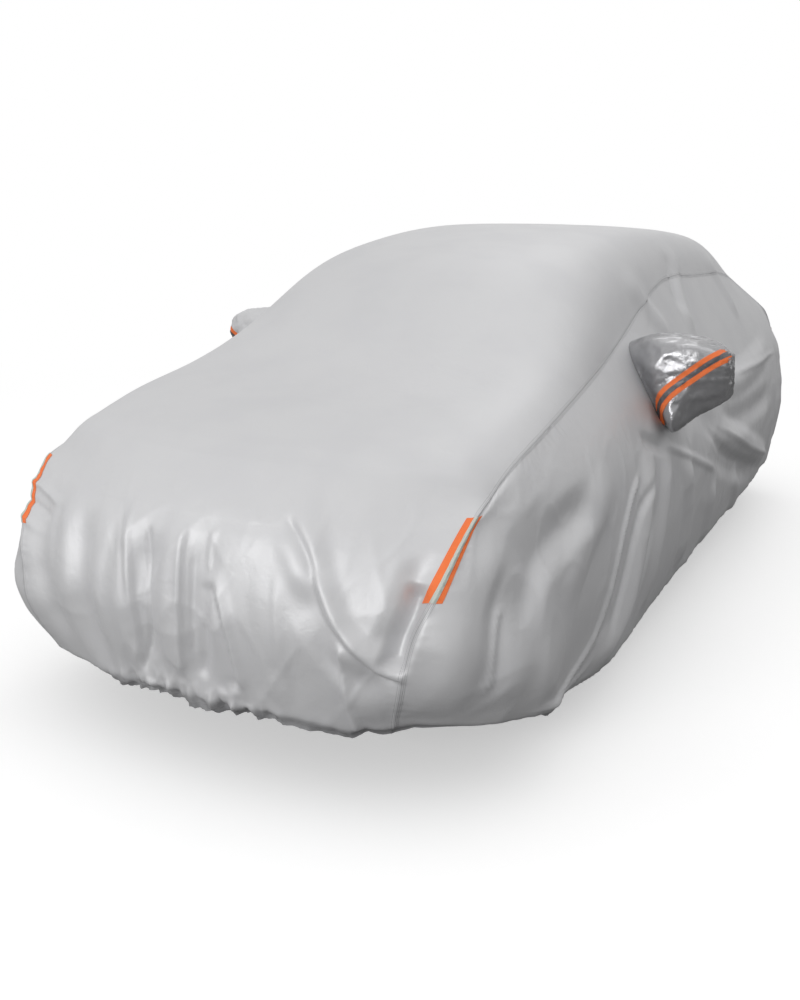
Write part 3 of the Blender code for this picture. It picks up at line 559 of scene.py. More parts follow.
# The main folds, which the solids have as well.
FOLDS = (
    # The front: upright folds, one long fold that runs down to the left corner, and a tuck there.
    *folds(FRONT, 0.065,
           (0.015, (-0.15, 0.80), (-0.20, 0.60), (-0.19, 0.24)),
           (0.011, (-0.27, 0.76), (-0.29, 0.50), (-0.26, 0.26)),
           (-0.015, (-0.10, 0.72), (-0.13, 0.50), (-0.12, 0.24)),
           (0.015, (0.00, 0.80), (-0.04, 0.58), (-0.02, 0.24)),
           (-0.012, (0.11, 0.78), (0.06, 0.58), (0.05, 0.24)),
           (0.012, (0.08, 0.66), (0.14, 0.42), (0.17, 0.24)),
           (0.011, (0.27, 0.68), (0.28, 0.45), (0.27, 0.24))),
    Fold(FRONT, 0.021, 0.065, 0.090, ((0.27, 0.86), (0.37, 0.69), (0.46, 0.52), (0.62, 0.42))),
    *folds(FRONT, 0.065,
           (-0.021, (0.34, 0.66), (0.43, 0.50), (0.50, 0.40), (0.60, 0.34)),
           (0.012, (0.46, 0.52), (0.49, 0.38), (0.51, 0.22)),
           (-0.021, (0.64, 0.74), (0.62, 0.56), (0.58, 0.46)),
           (0.012, (-0.45, 0.82), (-0.44, 0.55), (-0.40, 0.24)),
           (-0.012, (-0.37, 0.74), (-0.36, 0.48), (-0.33, 0.24)),
           (-0.013, (-0.60, 0.76), (-0.56, 0.54), (-0.48, 0.30))),
    # The left side: folds that hang from the pocket and the seam, and long ones low on the panel.
    Fold(LEFT, -0.027, 0.085, 0.085, ((0.85, 0.74), (0.55, 0.69), (0.36, 0.62), (0.24, 0.40))),
    Fold(LEFT, 0.015, 0.085, 0.085, ((0.36, 0.72), (0.28, 0.52), (0.22, 0.28))),
    Fold(LEFT, 0.030, 0.085, 0.110,
         ((1.44, 0.82), (1.30, 0.66), (1.14, 0.46), (0.96, 0.27), (0.70, 0.20))),
    *folds(LEFT, 0.085,
           (-0.023, (1.36, 0.62), (1.22, 0.42), (1.08, 0.22)),
           (0.019, (1.62, 0.76), (1.46, 0.52), (1.34, 0.20)),
           (0.023, (1.78, 0.72), (1.86, 0.48), (1.88, 0.18)),
           (-0.019, (1.92, 0.84), (2.24, 0.74), (2.90, 0.66), (3.90, 0.66)),
           (0.023, (1.95, 0.95), (2.40, 0.86), (3.10, 0.83), (4.00, 0.90))),
    Fold(LEFT, 0.027, 0.090, 0.090, ((2.10, 0.80), (2.60, 0.64), (3.20, 0.46), (3.92, 0.27))),
    *folds(LEFT, 0.085,
           (-0.023, (2.20, 0.62), (2.80, 0.44), (3.50, 0.28)),
           (0.019, (2.30, 0.50), (2.34, 0.34), (2.40, 0.16)),
           (0.019, (2.86, 0.42), (2.98, 0.28), (3.04, 0.16)),
           (0.017, (2.72, 1.42), (2.60, 1.30), (2.50, 1.18), (2.46, 1.02)),
           (-0.013, (2.58, 1.40), (2.50, 1.28), (2.42, 1.14)),
           (0.015, (1.84, 1.34), (1.96, 1.22), (2.14, 1.06)),
           (0.015, (3.30, 1.38), (3.40, 1.22), (3.44, 1.04)),
           (0.023, (4.30, 0.98), (4.20, 0.76), (4.16, 0.46), (4.12, 0.22)),
           (-0.019, (4.14, 0.86), (4.02, 0.60), (3.98, 0.32))),
    # The right side, which hangs in the same way with folds of its own.
    Fold(RIGHT, -0.025, 0.085, 0.085, ((0.90, 0.72), (0.60, 0.68), (0.38, 0.60), (0.25, 0.42))),
    Fold(RIGHT, 0.017, 0.085, 0.085, ((0.40, 0.70), (0.30, 0.50), (0.26, 0.26))),
    Fold(RIGHT, 0.028, 0.085, 0.110, ((1.50, 0.80), (1.32, 0.62), (1.10, 0.42), (0.90, 0.24))),
    *folds(RIGHT, 0.085,
           (-0.023, (1.44, 0.60), (1.30, 0.40), (1.20, 0.20)),
           (0.021, (1.70, 0.74), (1.62, 0.50), (1.58, 0.18)),
           (0.023, (1.96, 0.92), (2.50, 0.84), (3.20, 0.84), (4.05, 0.92)),
           (-0.021, (1.96, 0.80), (2.40, 0.70), (3.10, 0.68), (3.90, 0.72))),
    Fold(RIGHT, 0.027, 0.090, 0.090, ((1.98, 0.72), (2.50, 0.52), (3.00, 0.38), (3.60, 0.22))),
    *folds(RIGHT, 0.085,
           (0.023, (3.00, 0.62), (3.50, 0.50), (4.00, 0.34)),
           (0.019, (2.20, 0.46), (2.16, 0.30), (2.14, 0.16)),
           (0.017, (2.50, 1.42), (2.44, 1.28), (2.40, 1.08)),
           (0.015, (3.10, 1.40), (3.22, 1.24), (3.30, 1.06)),
           (0.023, (4.28, 0.96), (4.20, 0.72), (4.14, 0.44), (4.10, 0.22))),
    Fold(RIGHT, 0.024, 0.120, 0.120, ((0.04, 0.52), (0.10, 0.36), (0.16, 0.24), (0.22, 0.08))),
    # The rear: upright folds.
    *folds(REAR, 0.065,
           (0.017, (-0.52, 0.90), (-0.48, 0.60), (-0.46, 0.24)),
           (-0.013, (-0.38, 0.86), (-0.34, 0.56), (-0.36, 0.24)),
           (0.015, (-0.22, 0.88), (-0.20, 0.60), (-0.24, 0.24)),
           (-0.013, (0.02, 0.84), (-0.02, 0.56), (-0.06, 0.24)),
           (0.015, (0.16, 0.90), (0.20, 0.62), (0.18, 0.24))),
    Fold(REAR, 0.018, 0.065, 0.080, ((0.62, 0.92), (0.46, 0.74), (0.38, 0.50), (0.36, 0.24))),
    Fold(REAR, -0.015, 0.065, 0.065, ((0.56, 0.66), (0.52, 0.46), (0.50, 0.26))),
)

# The finer creases.
CREASES = (
    # The front, from the right side to the left.
    Fold(FRONT, 0.008, 0.016, 0.034,
         ((-0.196, 0.784), (-0.176, 0.639), (-0.167, 0.520), (-0.171, 0.350),
          (-0.192, 0.283)), SHARP, 0.12),
    Fold(FRONT, -0.004, 0.015, 0.015, ((-0.241, 0.773), (-0.192, 0.589), (-0.189, 0.472))),
    Fold(FRONT, -0.011, 0.020, 0.014,
         ((-0.122, 0.730), (-0.118, 0.600), (-0.116, 0.474), (-0.174, 0.267)), SHARP, 0.12),
    Fold(FRONT, 0.010, 0.018, 0.032,
         ((0.009, 0.740), (0.003, 0.668), (0.001, 0.552), (-0.008, 0.408),
          (-0.017, 0.300)), SHARP, 0.10),
    Fold(FRONT, -0.007, 0.030, 0.016, ((0.040, 0.720), (0.036, 0.560), (0.016, 0.320)), SHARP),
    Fold(FRONT, 0.006, 0.014, 0.018, ((0.098, 0.745), (0.086, 0.692), (0.089, 0.613)), SHARP),
    Fold(FRONT, -0.007, 0.030, 0.034,
         ((0.088, 0.603), (0.085, 0.540), (0.075, 0.450), (0.041, 0.300)), fade=0.10),
    Fold(FRONT, -0.014, 0.015, 0.070,
         ((0.100, 0.610), (0.133, 0.492), (0.149, 0.377), (0.156, 0.280)), SHARP, 0.12),
    Fold(FRONT, 0.006, 0.034, 0.014,
         ((0.120, 0.600), (0.150, 0.492), (0.166, 0.377), (0.173, 0.290)), SHARP, 0.15),
    Fold(FRONT, -0.006, 0.026, 0.050, ((0.269, 0.680), (0.283, 0.434), (0.295, 0.300))),
    Fold(FRONT, -0.008, 0.050, 0.050,
         ((0.262, 0.800), (0.312, 0.750), (0.372, 0.688), (0.409, 0.640)), SHARP),
    Fold(FRONT, -0.014, 0.018, 0.055,
         ((0.275, 0.785), (0.370, 0.690), (0.421, 0.568), (0.468, 0.506), (0.516, 0.460),
          (0.567, 0.413), (0.640, 0.396)), SHARP, 0.10),
    Fold(FRONT, 0.010, 0.060, 0.020,
         ((0.395, 0.668), (0.440, 0.580), (0.487, 0.518), (0.535, 0.473), (0.580, 0.429),
          (0.650, 0.414)), fade=0.15),
    Fold(FRONT, 0.010, 0.034, 0.018, ((0.468, 0.498), (0.470, 0.370), (0.474, 0.215)), SHARP, 0.10),
    Fold(FRONT, -0.054, 0.046, 0.044,
         ((0.655, 0.664), (0.640, 0.583), (0.624, 0.514), (0.600, 0.430)), fade=0.12),
    # The right side beside the front corner.
    Fold(RIGHT, 0.010, 0.018, 0.018, ((0.060, 0.690), (0.140, 0.720), (0.260, 0.715)), SHARP),
    Fold(RIGHT, -0.009, 0.018, 0.018, ((0.050, 0.650), (0.130, 0.680), (0.240, 0.672)), SHARP),
    Fold(RIGHT, 0.009, 0.016, 0.016, ((0.040, 0.600), (0.110, 0.640), (0.200, 0.630)), SHARP),
    # The left side, from the corner to the rear.
    Fold(LEFT, -0.010, 0.060, 0.050,
         ((0.632, 0.778), (0.354, 0.700), (0.200, 0.530), (0.168, 0.330))),
    Fold(LEFT, 0.009, 0.018, 0.022, ((0.245, 0.590), (0.190, 0.476), (0.172, 0.340)), SHARP, 0.15),
    Fold(LEFT, 0.014, 0.040, 0.018,
         ((1.260, 0.740), (1.120, 0.678), (0.965, 0.549), (0.861, 0.403), (0.780, 0.317),
          (0.640, 0.250), (0.351, 0.264)), SHARP, 0.10),
    Fold(LEFT, -0.009, 0.020, 0.030,
         ((1.411, 0.690), (1.194, 0.625), (1.060, 0.495), (0.945, 0.364), (0.845, 0.263))),
    Fold(LEFT, 0.012, 0.090, 0.090, ((1.000, 0.790), (0.720, 0.640), (0.500, 0.480))),
    Fold(LEFT, 0.007, 0.014, 0.014,
         ((0.834, 0.294), (0.730, 0.215), (0.500, 0.230), (0.322, 0.250)), SHARP),
    Fold(LEFT, 0.006, 0.014, 0.014,
         ((0.900, 0.245), (0.827, 0.165), (0.636, 0.165), (0.392, 0.205)), SHARP),
    Fold(LEFT, -0.016, 0.045, 0.045, ((1.328, 0.818), (1.475, 0.780), (1.611, 0.743))),
    Fold(LEFT, 0.009, 0.030, 0.020, ((1.492, 0.784), (2.035, 0.613), (2.402, 0.502))),
    Fold(LEFT, 0.010, 0.030, 0.018,
         ((2.254, 0.740), (2.585, 0.624), (2.915, 0.524), (3.915, 0.300)), SHARP),
    Fold(LEFT, -0.009, 0.035, 0.035, ((2.115, 0.743), (2.418, 0.600), (3.140, 0.397))),
    Fold(LEFT, 0.010, 0.030, 0.020, ((2.700, 0.856), (3.316, 0.839), (4.109, 0.835)), SHARP),
    Fold(LEFT, 0.006, 0.016, 0.016, ((2.303, 0.230), (2.024, 0.175)), SHARP),
)

# Where the front corners stand out round beside their seams, and where they are drawn in.
SWELLS = (
    Swell((0.720, 0.125, 0.480), (0.105, 0.095, 0.190), (0.044, -0.044, 0.000)),
    Swell((0.780, 0.225, 0.690), (0.075, 0.085, 0.095), (0.022, -0.026, 0.012)),
    Swell((0.600, 0.110, 0.235), (0.130, 0.130, 0.085), (-0.022, 0.032, 0.000)),
)

# How far the front hem hangs lower at each x, between these places.
HEM_DROP = np.array([(-0.60, 0.0), (-0.42, 0.015), (-0.35, 0.027), (-0.25, 0.014),
                     (-0.12, 0.003), (0.10, 0.006), (0.30, 0.004), (0.40, 0.014),
                     (0.455, 0.033), (0.495, 0.014), (0.535, 0.025), (0.60, 0.002)])


# The shape of the cloth ---------------------------------------------------------------------

FLANK_POINTS = 81  # on each polyline down a side
SECTION_TABLE = np.array([row[1:8] for row in SECTIONS])
SECTION_NAMES = [row.name for row in SECTIONS]
SECTION_KNOTS = lengths_along(
    np.stack([SECTION_TABLE[:, 2], SECTION_TABLE[:, [0, 3]].mean(axis=1),
              SECTION_TABLE[:, [1, 4]].mean(axis=1)], axis=1)
)
FRONT_CORNER = SECTION_NAMES.index("front corner")
REAR_CORNER = SECTION_NAMES.index("rear corner")


def section_line(values: Grid, samples: int = 121) -> Grid:
    """A cross section from the right seam to the left one, as a fine polyline.

    Args:
        values: a row of the table of sections.
        samples: how many points the polyline has.

    Returns:
        The points.
    """
    mid_y, mid_z, seam_x, seam_y, seam_z, sag, edge = values
    across = np.linspace(-1, 1, samples)
    reach = np.abs(across)
    drop = sag * reach**2 + (1 - sag) * reach**edge
    return np.stack([seam_x * across, mid_y + (seam_y - mid_y) * reach**2.2,
                     mid_z + (seam_z - mid_z) * drop], axis=1)


def step_towards(start: Grid, end: Grid, distance: float) -> Grid:
    """Points at the given distance from start, on the way to end."""
    return start + unit(end - start) * distance


def superellipse(across: Grid, up: Grid, squareness: Union[Grid, float]) -> Grid:
    """Where a place on a square's outline lies on the pocket's rounded outline."""
    length = np.abs(across)**squareness + np.abs(up)**squareness
    return np.stack([across, up], axis=-1) / (length**(1 / squareness))[..., None]


@dataclass
class Sheet:
    """A panel of cloth as a grid of points.

    Attributes:
        points: the points, in rows and columns.
        rows: the places of the rows, counted in coarse cells.
        columns: the places of the columns, counted in coarse cells.
        normals: the outward direction at each point.
        seam: the distance of each point from the nearest seam.
        along: how far along its seam each point lies.
        hem: the distance of each point from the hem.
    """

    points: Grid
    rows: Grid
    columns: Grid
    normals: Grid = field(default_factory=lambda: np.zeros(0))
    seam: Grid = field(default_factory=lambda: np.zeros(0))
    along: Grid = field(default_factory=lambda: np.zeros(0))
    hem: Grid = field(default_factory=lambda: np.zeros(0))

    def read(self, rows: Grid, columns: Grid) -> Grid:
        """The points at any row and column places."""
        return sample(self.points, self.rows, self.columns, rows, columns)

    def flat_size(self) -> tuple[float, float, float]:
        """Measure the cut that makes the panel.

        Returns:
            Its width, its length and its area.
        """
        down = lengths_along(self.points)[-1].max()
        across = lengths_along(self.points.transpose(1, 0, 2))[-1].max()
        first = self.points[1:, 1:] - self.points[:-1, :-1]
        second = self.points[1:, :-1] - self.points[:-1, 1:]
        area = np.linalg.norm(np.cross(first, second), axis=-1).sum() / 2
        return float(across), float(down), float(min(area, across * down))


@dataclass
class ClothForm:
    """The three big panels of the cover on fine lines, with folds, creases, seams and hems.

    Attributes:
        top_down: pairs of coarse rows and fine lines in each, down the top panel.
        top_across: pairs of coarse columns and fine lines in each, across the top panel.
        side_down: pairs of coarse rows and fine lines in each, down the side panels.
        side_along: pairs of coarse columns and fine lines in each, along the side panels.
        seam_ridge: how far the sewn seams stand proud.
        seam_ridge_reach: how far from the seam the ridge runs out.
        pucker: the depth of the puckers along the seams.
        pucker_step: the way from one pucker to the next.
        pucker_reach: how far from the seam the puckers run out.
        hem_gather: the depth of the gathers along the hems.
        hem_curl: how far the hems are turned under.
        hem_curl_reach: how far up the cloth is drawn under.
        hem_rise: how far the hems hang over their place, on the whole.
        hem_uneven: how far they swing about that line.
        hem_ragged: how far the gathers draw the front hem up.
        slack: the depth of the cloth's soft unevenness.
    """

    top_down: Splits = ((14, 8), (6, 6), (8, 4), (26, 2), (19, 2))
    top_across: Splits = ((1, 6), (7, 3), (20, 7))
    side_down: Splits = ((14, 8),)
    side_along: Splits = ((12, 10), (6, 12), (3, 10), (9, 7), (15, 5))
    seam_ridge: float = 0.0016
    seam_ridge_reach: float = 0.006
    pucker: float = 0.0020
    pucker_step: float = 0.031
    pucker_reach: float = 0.020
    hem_gather: float = 0.0290
    hem_curl: float = 0.042
    hem_curl_reach: float = 0.052
    hem_rise: float = 0.008
    hem_uneven: float = 0.006
    hem_ragged: float = 0.010
    slack: float = 0.0022

    def __post_init__(self) -> None:
        """Work out the panels."""
        places, starts = self._section_places()
        self.starts = starts
        self.front, self.rear = starts[FRONT_CORNER], starts[REAR_CORNER]
        coarse = self._top_grid(places)
        seam = coarse[:, -1]
        flank = self._flank_grid(places[self.front:self.rear + 1],
                                 seam[self.front::-1], seam[self.rear:])
        top_rows = split_places(self.top_down)
        top_columns = split_places(self.top_across, edges=True)
        side_rows = split_places(self.side_down, edges=True)
        side_columns = split_places(self.side_along, edges=True)
        self.seam_knots = np.arange(len(seam), dtype=float)
        self.seam_points = seam
        self.top = Sheet(refine(coarse, top_rows, top_columns), top_rows, top_columns)
        left = self._straighten(refine(flank, side_rows, side_columns), side_columns)
        left = self._join_seams(left, side_rows, side_columns)
        column = starts[SECTION_NAMES.index(POCKET_SECTION)] - self.front
        down, along = POCKET_BLOCK
        self.block = (POCKET_ROW, POCKET_ROW + down, column, column + along)
        self._round_hole(left, side_rows, side_columns)
        self.sides = {Side.LEFT: Sheet(left, side_rows, side_columns),
                      Side.RIGHT: Sheet(left * MIRROR, side_rows, side_columns)}
        self._measure()
        self._set_normals()
        self.flat_sizes = {"top": self.top.flat_size(), "side": self.sides[Side.LEFT].flat_size()}
        self._displace()
        self._set_normals()

    @staticmethod
    def _section_places() -> tuple[Grid, list[int]]:
        """Divide the way between the sections into coarse rows.

        Returns:
            The place of each coarse row, and how many rows lie before each section.
        """
        places, starts = [SECTION_KNOTS[0]], [0]
        for row, section in enumerate(SECTIONS[:-1]):
            steps = np.linspace(SECTION_KNOTS[row], SECTION_KNOTS[row + 1], section.cells + 1)
            places.extend(steps[1:])
            starts.append(len(places) - 1)
        return np.array(places), starts

    @staticmethod
    def _top_grid(places: Grid) -> Grid:
        """The top panel's coarse points.

        Args:
            places: the places of its rows.

        Returns:
            The points: rows from front to rear, columns from right to left.
        """
        rows = []
        for values in natural_curve(SECTION_KNOTS, SECTION_TABLE, places):
            line = section_line(values)
            length = lengths_along(line)[-1]
            inner = np.linspace(TAPE_HALF_WIDTH, length - TAPE_HALF_WIDTH, PANEL_CELLS_ACROSS - 1)
            rows.append(points_at(line, np.concatenate([[0.0], inner, [length]])))
        return np.array(rows)

    @staticmethod
    def _flank_columns(places: Grid) -> list[Grid]:
        """Fine polylines down the left side, from the long seam to the hem.

        Args:
            places: the places along the cover at which they run down.

        Returns:
            The points of each polyline.
        """
        knots = SECTION_KNOTS[FRONT_CORNER:REAR_CORNER + 1]
        rails = np.array([[*row.shoulder, *row.belt, *row.sill, *row.hem] for row in FLANKS])
        seams = natural_curve(SECTION_KNOTS, SECTION_TABLE, places)[:, 2:5]
        columns = []
        for seam, rail in zip(seams, natural_curve(knots, rails, places)):
            through = np.vstack([seam, rail.reshape(4, 3)])
            along = lengths_along(through)
            columns.append(natural_curve(along, through, np.linspace(0, along[-1], FLANK_POINTS)))
        return columns

    def _flank_grid(self, places: Grid, front_seam: Grid, rear_seam: Grid) -> Grid:
        """The left panel's coarse points.

        Args:
            places: the places of its columns along the cover.
            front_seam: the points of the corner seam at its front, from the long seam down.
            rear_seam: the points of the corner seam at its rear.

        Returns:
            The points: rows from the long seam down to the hem, columns from front to rear.
        """
        rows_count, columns_count = len(front_seam), len(places)
        front_share = lengths_along(front_seam) / lengths_along(front_seam)[-1]
        rear_share = lengths_along(rear_seam) / lengths_along(rear_seam)[-1]
        grid = np.zeros((rows_count, columns_count, 3))
        for i, column in enumerate(self._flank_columns(places)):
            length = lengths_along(column)[-1]
            even = np.concatenate([[0.0], np.linspace(TAPE_HALF_WIDTH / length, 1, rows_count - 1)])
            front = 1 - smooth_step(1, 5, i)
            rear = 1 - smooth_step(1, 5, columns_count - 1 - i)
            share = even + front * (front_share - even) + rear * (rear_share - even)
            grid[:, i] = points_at(column, share * length)
        fade = (1 - smooth_step(0, 6, np.arange(columns_count)))[None, :, None]
        grid += (front_seam - grid[:, 0])[:, None, :] * fade
        grid += (rear_seam - grid[:, -1])[:, None, :] * fade[:, ::-1]
        grid[1:, 1] = step_towards(grid[1:, 0], grid[1:, 2], TAPE_HALF_WIDTH)
        grid[1:, -2] = step_towards(grid[1:, -1], grid[1:, -3], TAPE_HALF_WIDTH)
        front_corner = (grid[1, 2] + grid[2, 1]) / 2
        rear_corner = (grid[1, -3] + grid[2, -2]) / 2
        grid[1, 1] = step_towards(grid[1, 0], front_corner, TAPE_HALF_WIDTH)
        grid[1, -2] = step_towards(grid[1, -1], rear_corner, TAPE_HALF_WIDTH)
        return grid

    def seam_at(self, places: Grid) -> Grid:
        """The points of the left seam, front hem to rear hem, at the places."""
        return natural_curve(self.seam_knots, self.seam_points, places)

    @staticmethod
    def _straighten(grid: Grid, columns: Grid) -> Grid:
        """Lay the cells beside the end seams straight, so that the cloth never turns back.

        Args:
            grid: a side panel's fine points.
            columns: the places of its columns.

        Returns:
            The same grid.
        """
        for low in (0, round(columns[-1]) - 1):
            start, end = (int(np.argmin(np.abs(columns - place))) for place in (low, low + 1))
            for j in range(start + 1, end):
                share = columns[j] - low
                grid[:, j] = grid[:, start] * (1 - share) + grid[:, end] * share
        return grid

    def _join_seams(self, grid: Grid, rows: Grid, columns: Grid) -> Grid:
        """Bring the edges of a left panel onto the seams of the top panel.

        Args:
            grid: its fine points.
            rows: the places of its rows.
            columns: the places of its columns.

        Returns:
            The joined points.
        """
        fade = (1 - smooth_step(0, 2, columns))[None, :, None]
        grid = grid + (self.seam_at(self.front - rows) - grid[:, 0])[:, None] * fade
        fade = (1 - smooth_step(0, 2, columns[-1] - columns))[None, :, None]
        grid = grid + (self.seam_at(self.rear + rows) - grid[:, -1])[:, None] * fade
        fade = (1 - smooth_step(0, 1, rows))[:, None, None]
        return grid + (self.seam_at(self.front + columns) - grid[0])[None] * fade

    def _round_hole(self, grid: Grid, rows: Grid, columns: Grid) -> None:
        """Draw a left panel's points in so that the hole gets the pocket's outline.

        Args:
            grid: its fine points, which are moved.
            rows: the places of its rows.
            columns: the places of its columns.
        """
        first_row, last_row, first_column, last_column = self.block
        down, along = np.gradient(grid, axis=0), np.gradient(grid, axis=1)
        row, column = np.meshgrid(rows, columns, indexing="ij")
        near_row, near_column = np.clip(row, *self.block[:2]), np.clip(column, *self.block[2:])
        away = np.maximum(np.abs(row - near_row), np.abs(column - near_column))
        inside = ((row > first_row) & (row < last_row)
                  & (column > first_column) & (column < last_column))
        hole = POCKET_RINGS[0]
        place = self.square(near_row + inside * NEARLY, near_column)
        outline = superellipse(*place, POCKET_SQUARENESS)
        goal = np.stack([hole.y + hole.half_depth * outline[..., 0],
                         hole.z + hole.half_height * outline[..., 1]], axis=-1)
        fade = (1 - smooth_step(0, POCKET_SPREAD, away)) * (row > 0)
        near = sample(grid, rows, columns, near_row, near_column)
        shift = (goal - near[..., 1:]) * fade[..., None]
        for i, j in np.argwhere((fade > 0) & ~inside):
            plane = np.stack([along[i, j], down[i, j]], axis=1)
            grid[i, j] += plane @ np.linalg.solve(plane[1:], shift[i, j])

    def square(self, row: Grid, column: Grid) -> tuple[Grid, Grid]:
        """Places in the pocket's block as places on a square: rearward, and upward."""
        first_row, last_row, first_column, last_column = self.block
        return (2 * (column - first_column) / (last_column - first_column) - 1,
                1 - 2 * (row - first_row) / (last_row - first_row))

    def _measure(self) -> None:
        """Measure each panel's distances from its seams and its hem."""
        across = lengths_along(self.top.points.transpose(1, 0, 2)).T
        down = lengths_along(self.top.points)
        self.top.seam = np.minimum(across, across[:, -1:] - across)
        self.top.along = down[:, :1] + np.zeros_like(down)
        self.top.hem = np.minimum(down, down[-1:] - down)
        reference = np.interp(self.seam_knots, self.top.rows, down[:, 0])
        for side in self.sides.values():
            down = lengths_along(side.points)
            across = lengths_along(side.points.transpose(1, 0, 2)).T
            corner = np.minimum(across, across[:, -1:] - across)
            side.seam = np.minimum(down, corner)
            long_way = np.interp(self.front + side.columns, self.seam_knots, reference)
            front_way = np.interp(self.front - side.rows, self.seam_knots, reference)
            rear_way = np.interp(self.rear + side.rows, self.seam_knots, reference)
            at_front = across < across[:, -1:] - across
            corner_way = np.where(at_front, front_way[:, None], rear_way[:, None])
            side.along = np.where(down <= corner, long_way[None], corner_way)
            side.hem = down[-1:] - down

    def _set_normals(self) -> None:
        """Set each panel's normals, the same on both edges of a seam."""
        self.top.normals = grid_normals(self.top.points)
        for which, side in self.sides.items():
            side.normals = grid_normals(side.points) * -which.value
            top = self.top.normals[:, -1 if which is Side.LEFT else 0]
            corner = side.normals[1, 1].copy(), side.normals[1, -2].copy()
            side.normals[0, 0], side.normals[0, -1] = corner
            edges = ((self.front + side.columns, (0, slice(None))),
                     (self.front - side.rows, (slice(None), 0)),
                     (self.rear + side.rows, (slice(None), -1)))
            mixed = top.copy()
            for places, edge in edges:
                on_top = np.stack([np.interp(places, self.top.rows, top[:, axis])
                                   for axis in range(3)], axis=1)
                own = side.normals[edge].copy()
                order = np.argsort(places)
                inside = ((self.top.rows >= places.min() - NEARLY)
                          & (self.top.rows <= places.max() + NEARLY))
                back = np.stack([np.interp(self.top.rows, places[order], own[order, axis])
                                 for axis in range(3)], axis=1)
                mixed[inside] = unit(top[inside] + back[inside])
                side.normals[edge] = unit(on_top + own)
            self.top.normals[:, -1 if which is Side.LEFT else 0] = mixed

    def _displace(self) -> None:
        """Give the panels their folds, creases, seams and gathers."""
        for sheet in (self.top, *self.sides.values()):
            sheet.points = sheet.points + sum(swell.moves(sheet.points) for swell in SWELLS)
        self._set_normals()
        for sheet in (self.top, *self.sides.values()):
            height = np.zeros(sheet.points.shape[:-1])
            frames = {face: face_frame(sheet.points, face) for face in Face}
            for fold in (*FOLDS, *CREASES):
                height += fold.heights(frames[fold.face])
            height += self._small_shape(sheet, frames)
            drop = self._hem_drop(sheet, frames[Face.FRONT])
            sheet.points = sheet.points + self._pushes(sheet) * height[..., None]
            sheet.points[..., 2] += drop

    def _pushes(self, sheet: Sheet) -> Grid:
        """The direction in which each point is moved: its normal, and beside a seam the seam's.

        Args:
            sheet: the panel.

        Returns:
            The direction at each point.
        """
        normals = sheet.normals
        row, column = np.meshgrid(sheet.rows, sheet.columns, indexing="ij")
        first_half = (column < sheet.columns[-1] / 2)[..., None]
        nearest = np.where(first_half, normals[:, :1], normals[:, -1:])
        if sheet is not self.top:
            at_end = np.minimum(column, sheet.columns[-1] - column) < row
            nearest = np.where(at_end[..., None], nearest, normals[:1])
        share = smooth_step(0.0, 0.09, sheet.seam)[..., None]
        return unit(normals * share + nearest * (1 - share))

    def _hem_drop(self, sheet: Sheet, front: FaceFrame) -> Grid:
        """How far the hem's uneven line lies over its place, or under it where less than 0.

        Args:
            sheet: the panel.
            front: its points' share and places on the front.

        Returns:
            The rise of each point.
        """
        near = np.exp(-(sheet.hem / 0.075) ** 2)
        lobes = -np.interp(sheet.points[..., 0], *HEM_DROP.T) * front.share
        uneven = self.hem_uneven * waves(sheet.points, (0.18, 0.50), 6, 71)
        pleats = sheet.points * (1, 1, 0.3)
        uneven += self.hem_ragged * drawn_in(front) * crumples(pleats, 0.060, 5.3)
        return near * (lobes + self.hem_rise + uneven * smooth_step(0.0, 0.06, sheet.seam))

    def _small_shape(self, sheet: Sheet, frames: dict[Face, FaceFrame]) -> Grid:
        """The small forms of a panel, which are all heights over its folded cloth.

        Args:
            sheet: the panel.
            frames: its points' share and places on each face.

        Returns:
            The height at each point.
        """
        ridge = self.seam_ridge * np.exp(-(sheet.seam / self.seam_ridge_reach) ** 2)
        gather = self._gathers(sheet, drawn_in(frames[Face.FRONT]))
        return ridge + self._puckers(sheet) + gather + self._slack(sheet, frames)

    def _puckers(self, sheet: Sheet) -> Grid:
        """The puckers beside the seams.

        Args:
            sheet: the panel.

        Returns:
            Their height at each point.
        """
        beat = sheet.along / self.pucker_step + 0.8 * waves(sheet.points, (0.10, 0.30), 4, 11)
        depth = self.pucker * np.cos(2 * math.pi * beat) * np.exp(-sheet.seam / self.pucker_reach)
        depth *= 0.55 + 0.45 * waves(sheet.points, (0.15, 0.40), 4, 12)
        return depth * smooth_step(0.0, 0.006, sheet.seam)

    def _gathers(self, sheet: Sheet, busy: Grid) -> Grid:
        """The hem's gathers, and the cloth turned under at its edge.

        Args:
            sheet: the panel.
            busy: how far the hem is drawn in at each point.

        Returns:
            Their height at each point.
        """
        reach = 0.040 + 0.035 * busy
        pleats = sheet.points * (1.0, 1.0, 0.40)
        crumple = crumples(pleats, 0.064, 3.1) + 0.6 * crumples(pleats, 0.034, 7.7) - 0.65
        depth = self.hem_gather * (0.22 + 0.78 * busy)
        gather = depth * crumple * np.exp(-(sheet.hem / reach) ** 2)
        gather *= smooth_step(0.0, 0.05, sheet.seam)
        curl = 0.85 + 0.35 * waves(sheet.points, (0.12, 0.40), 5, 81)
        under = 1 - smooth_step(0.0, self.hem_curl_reach, sheet.hem)
        return gather - self.hem_curl * curl * under

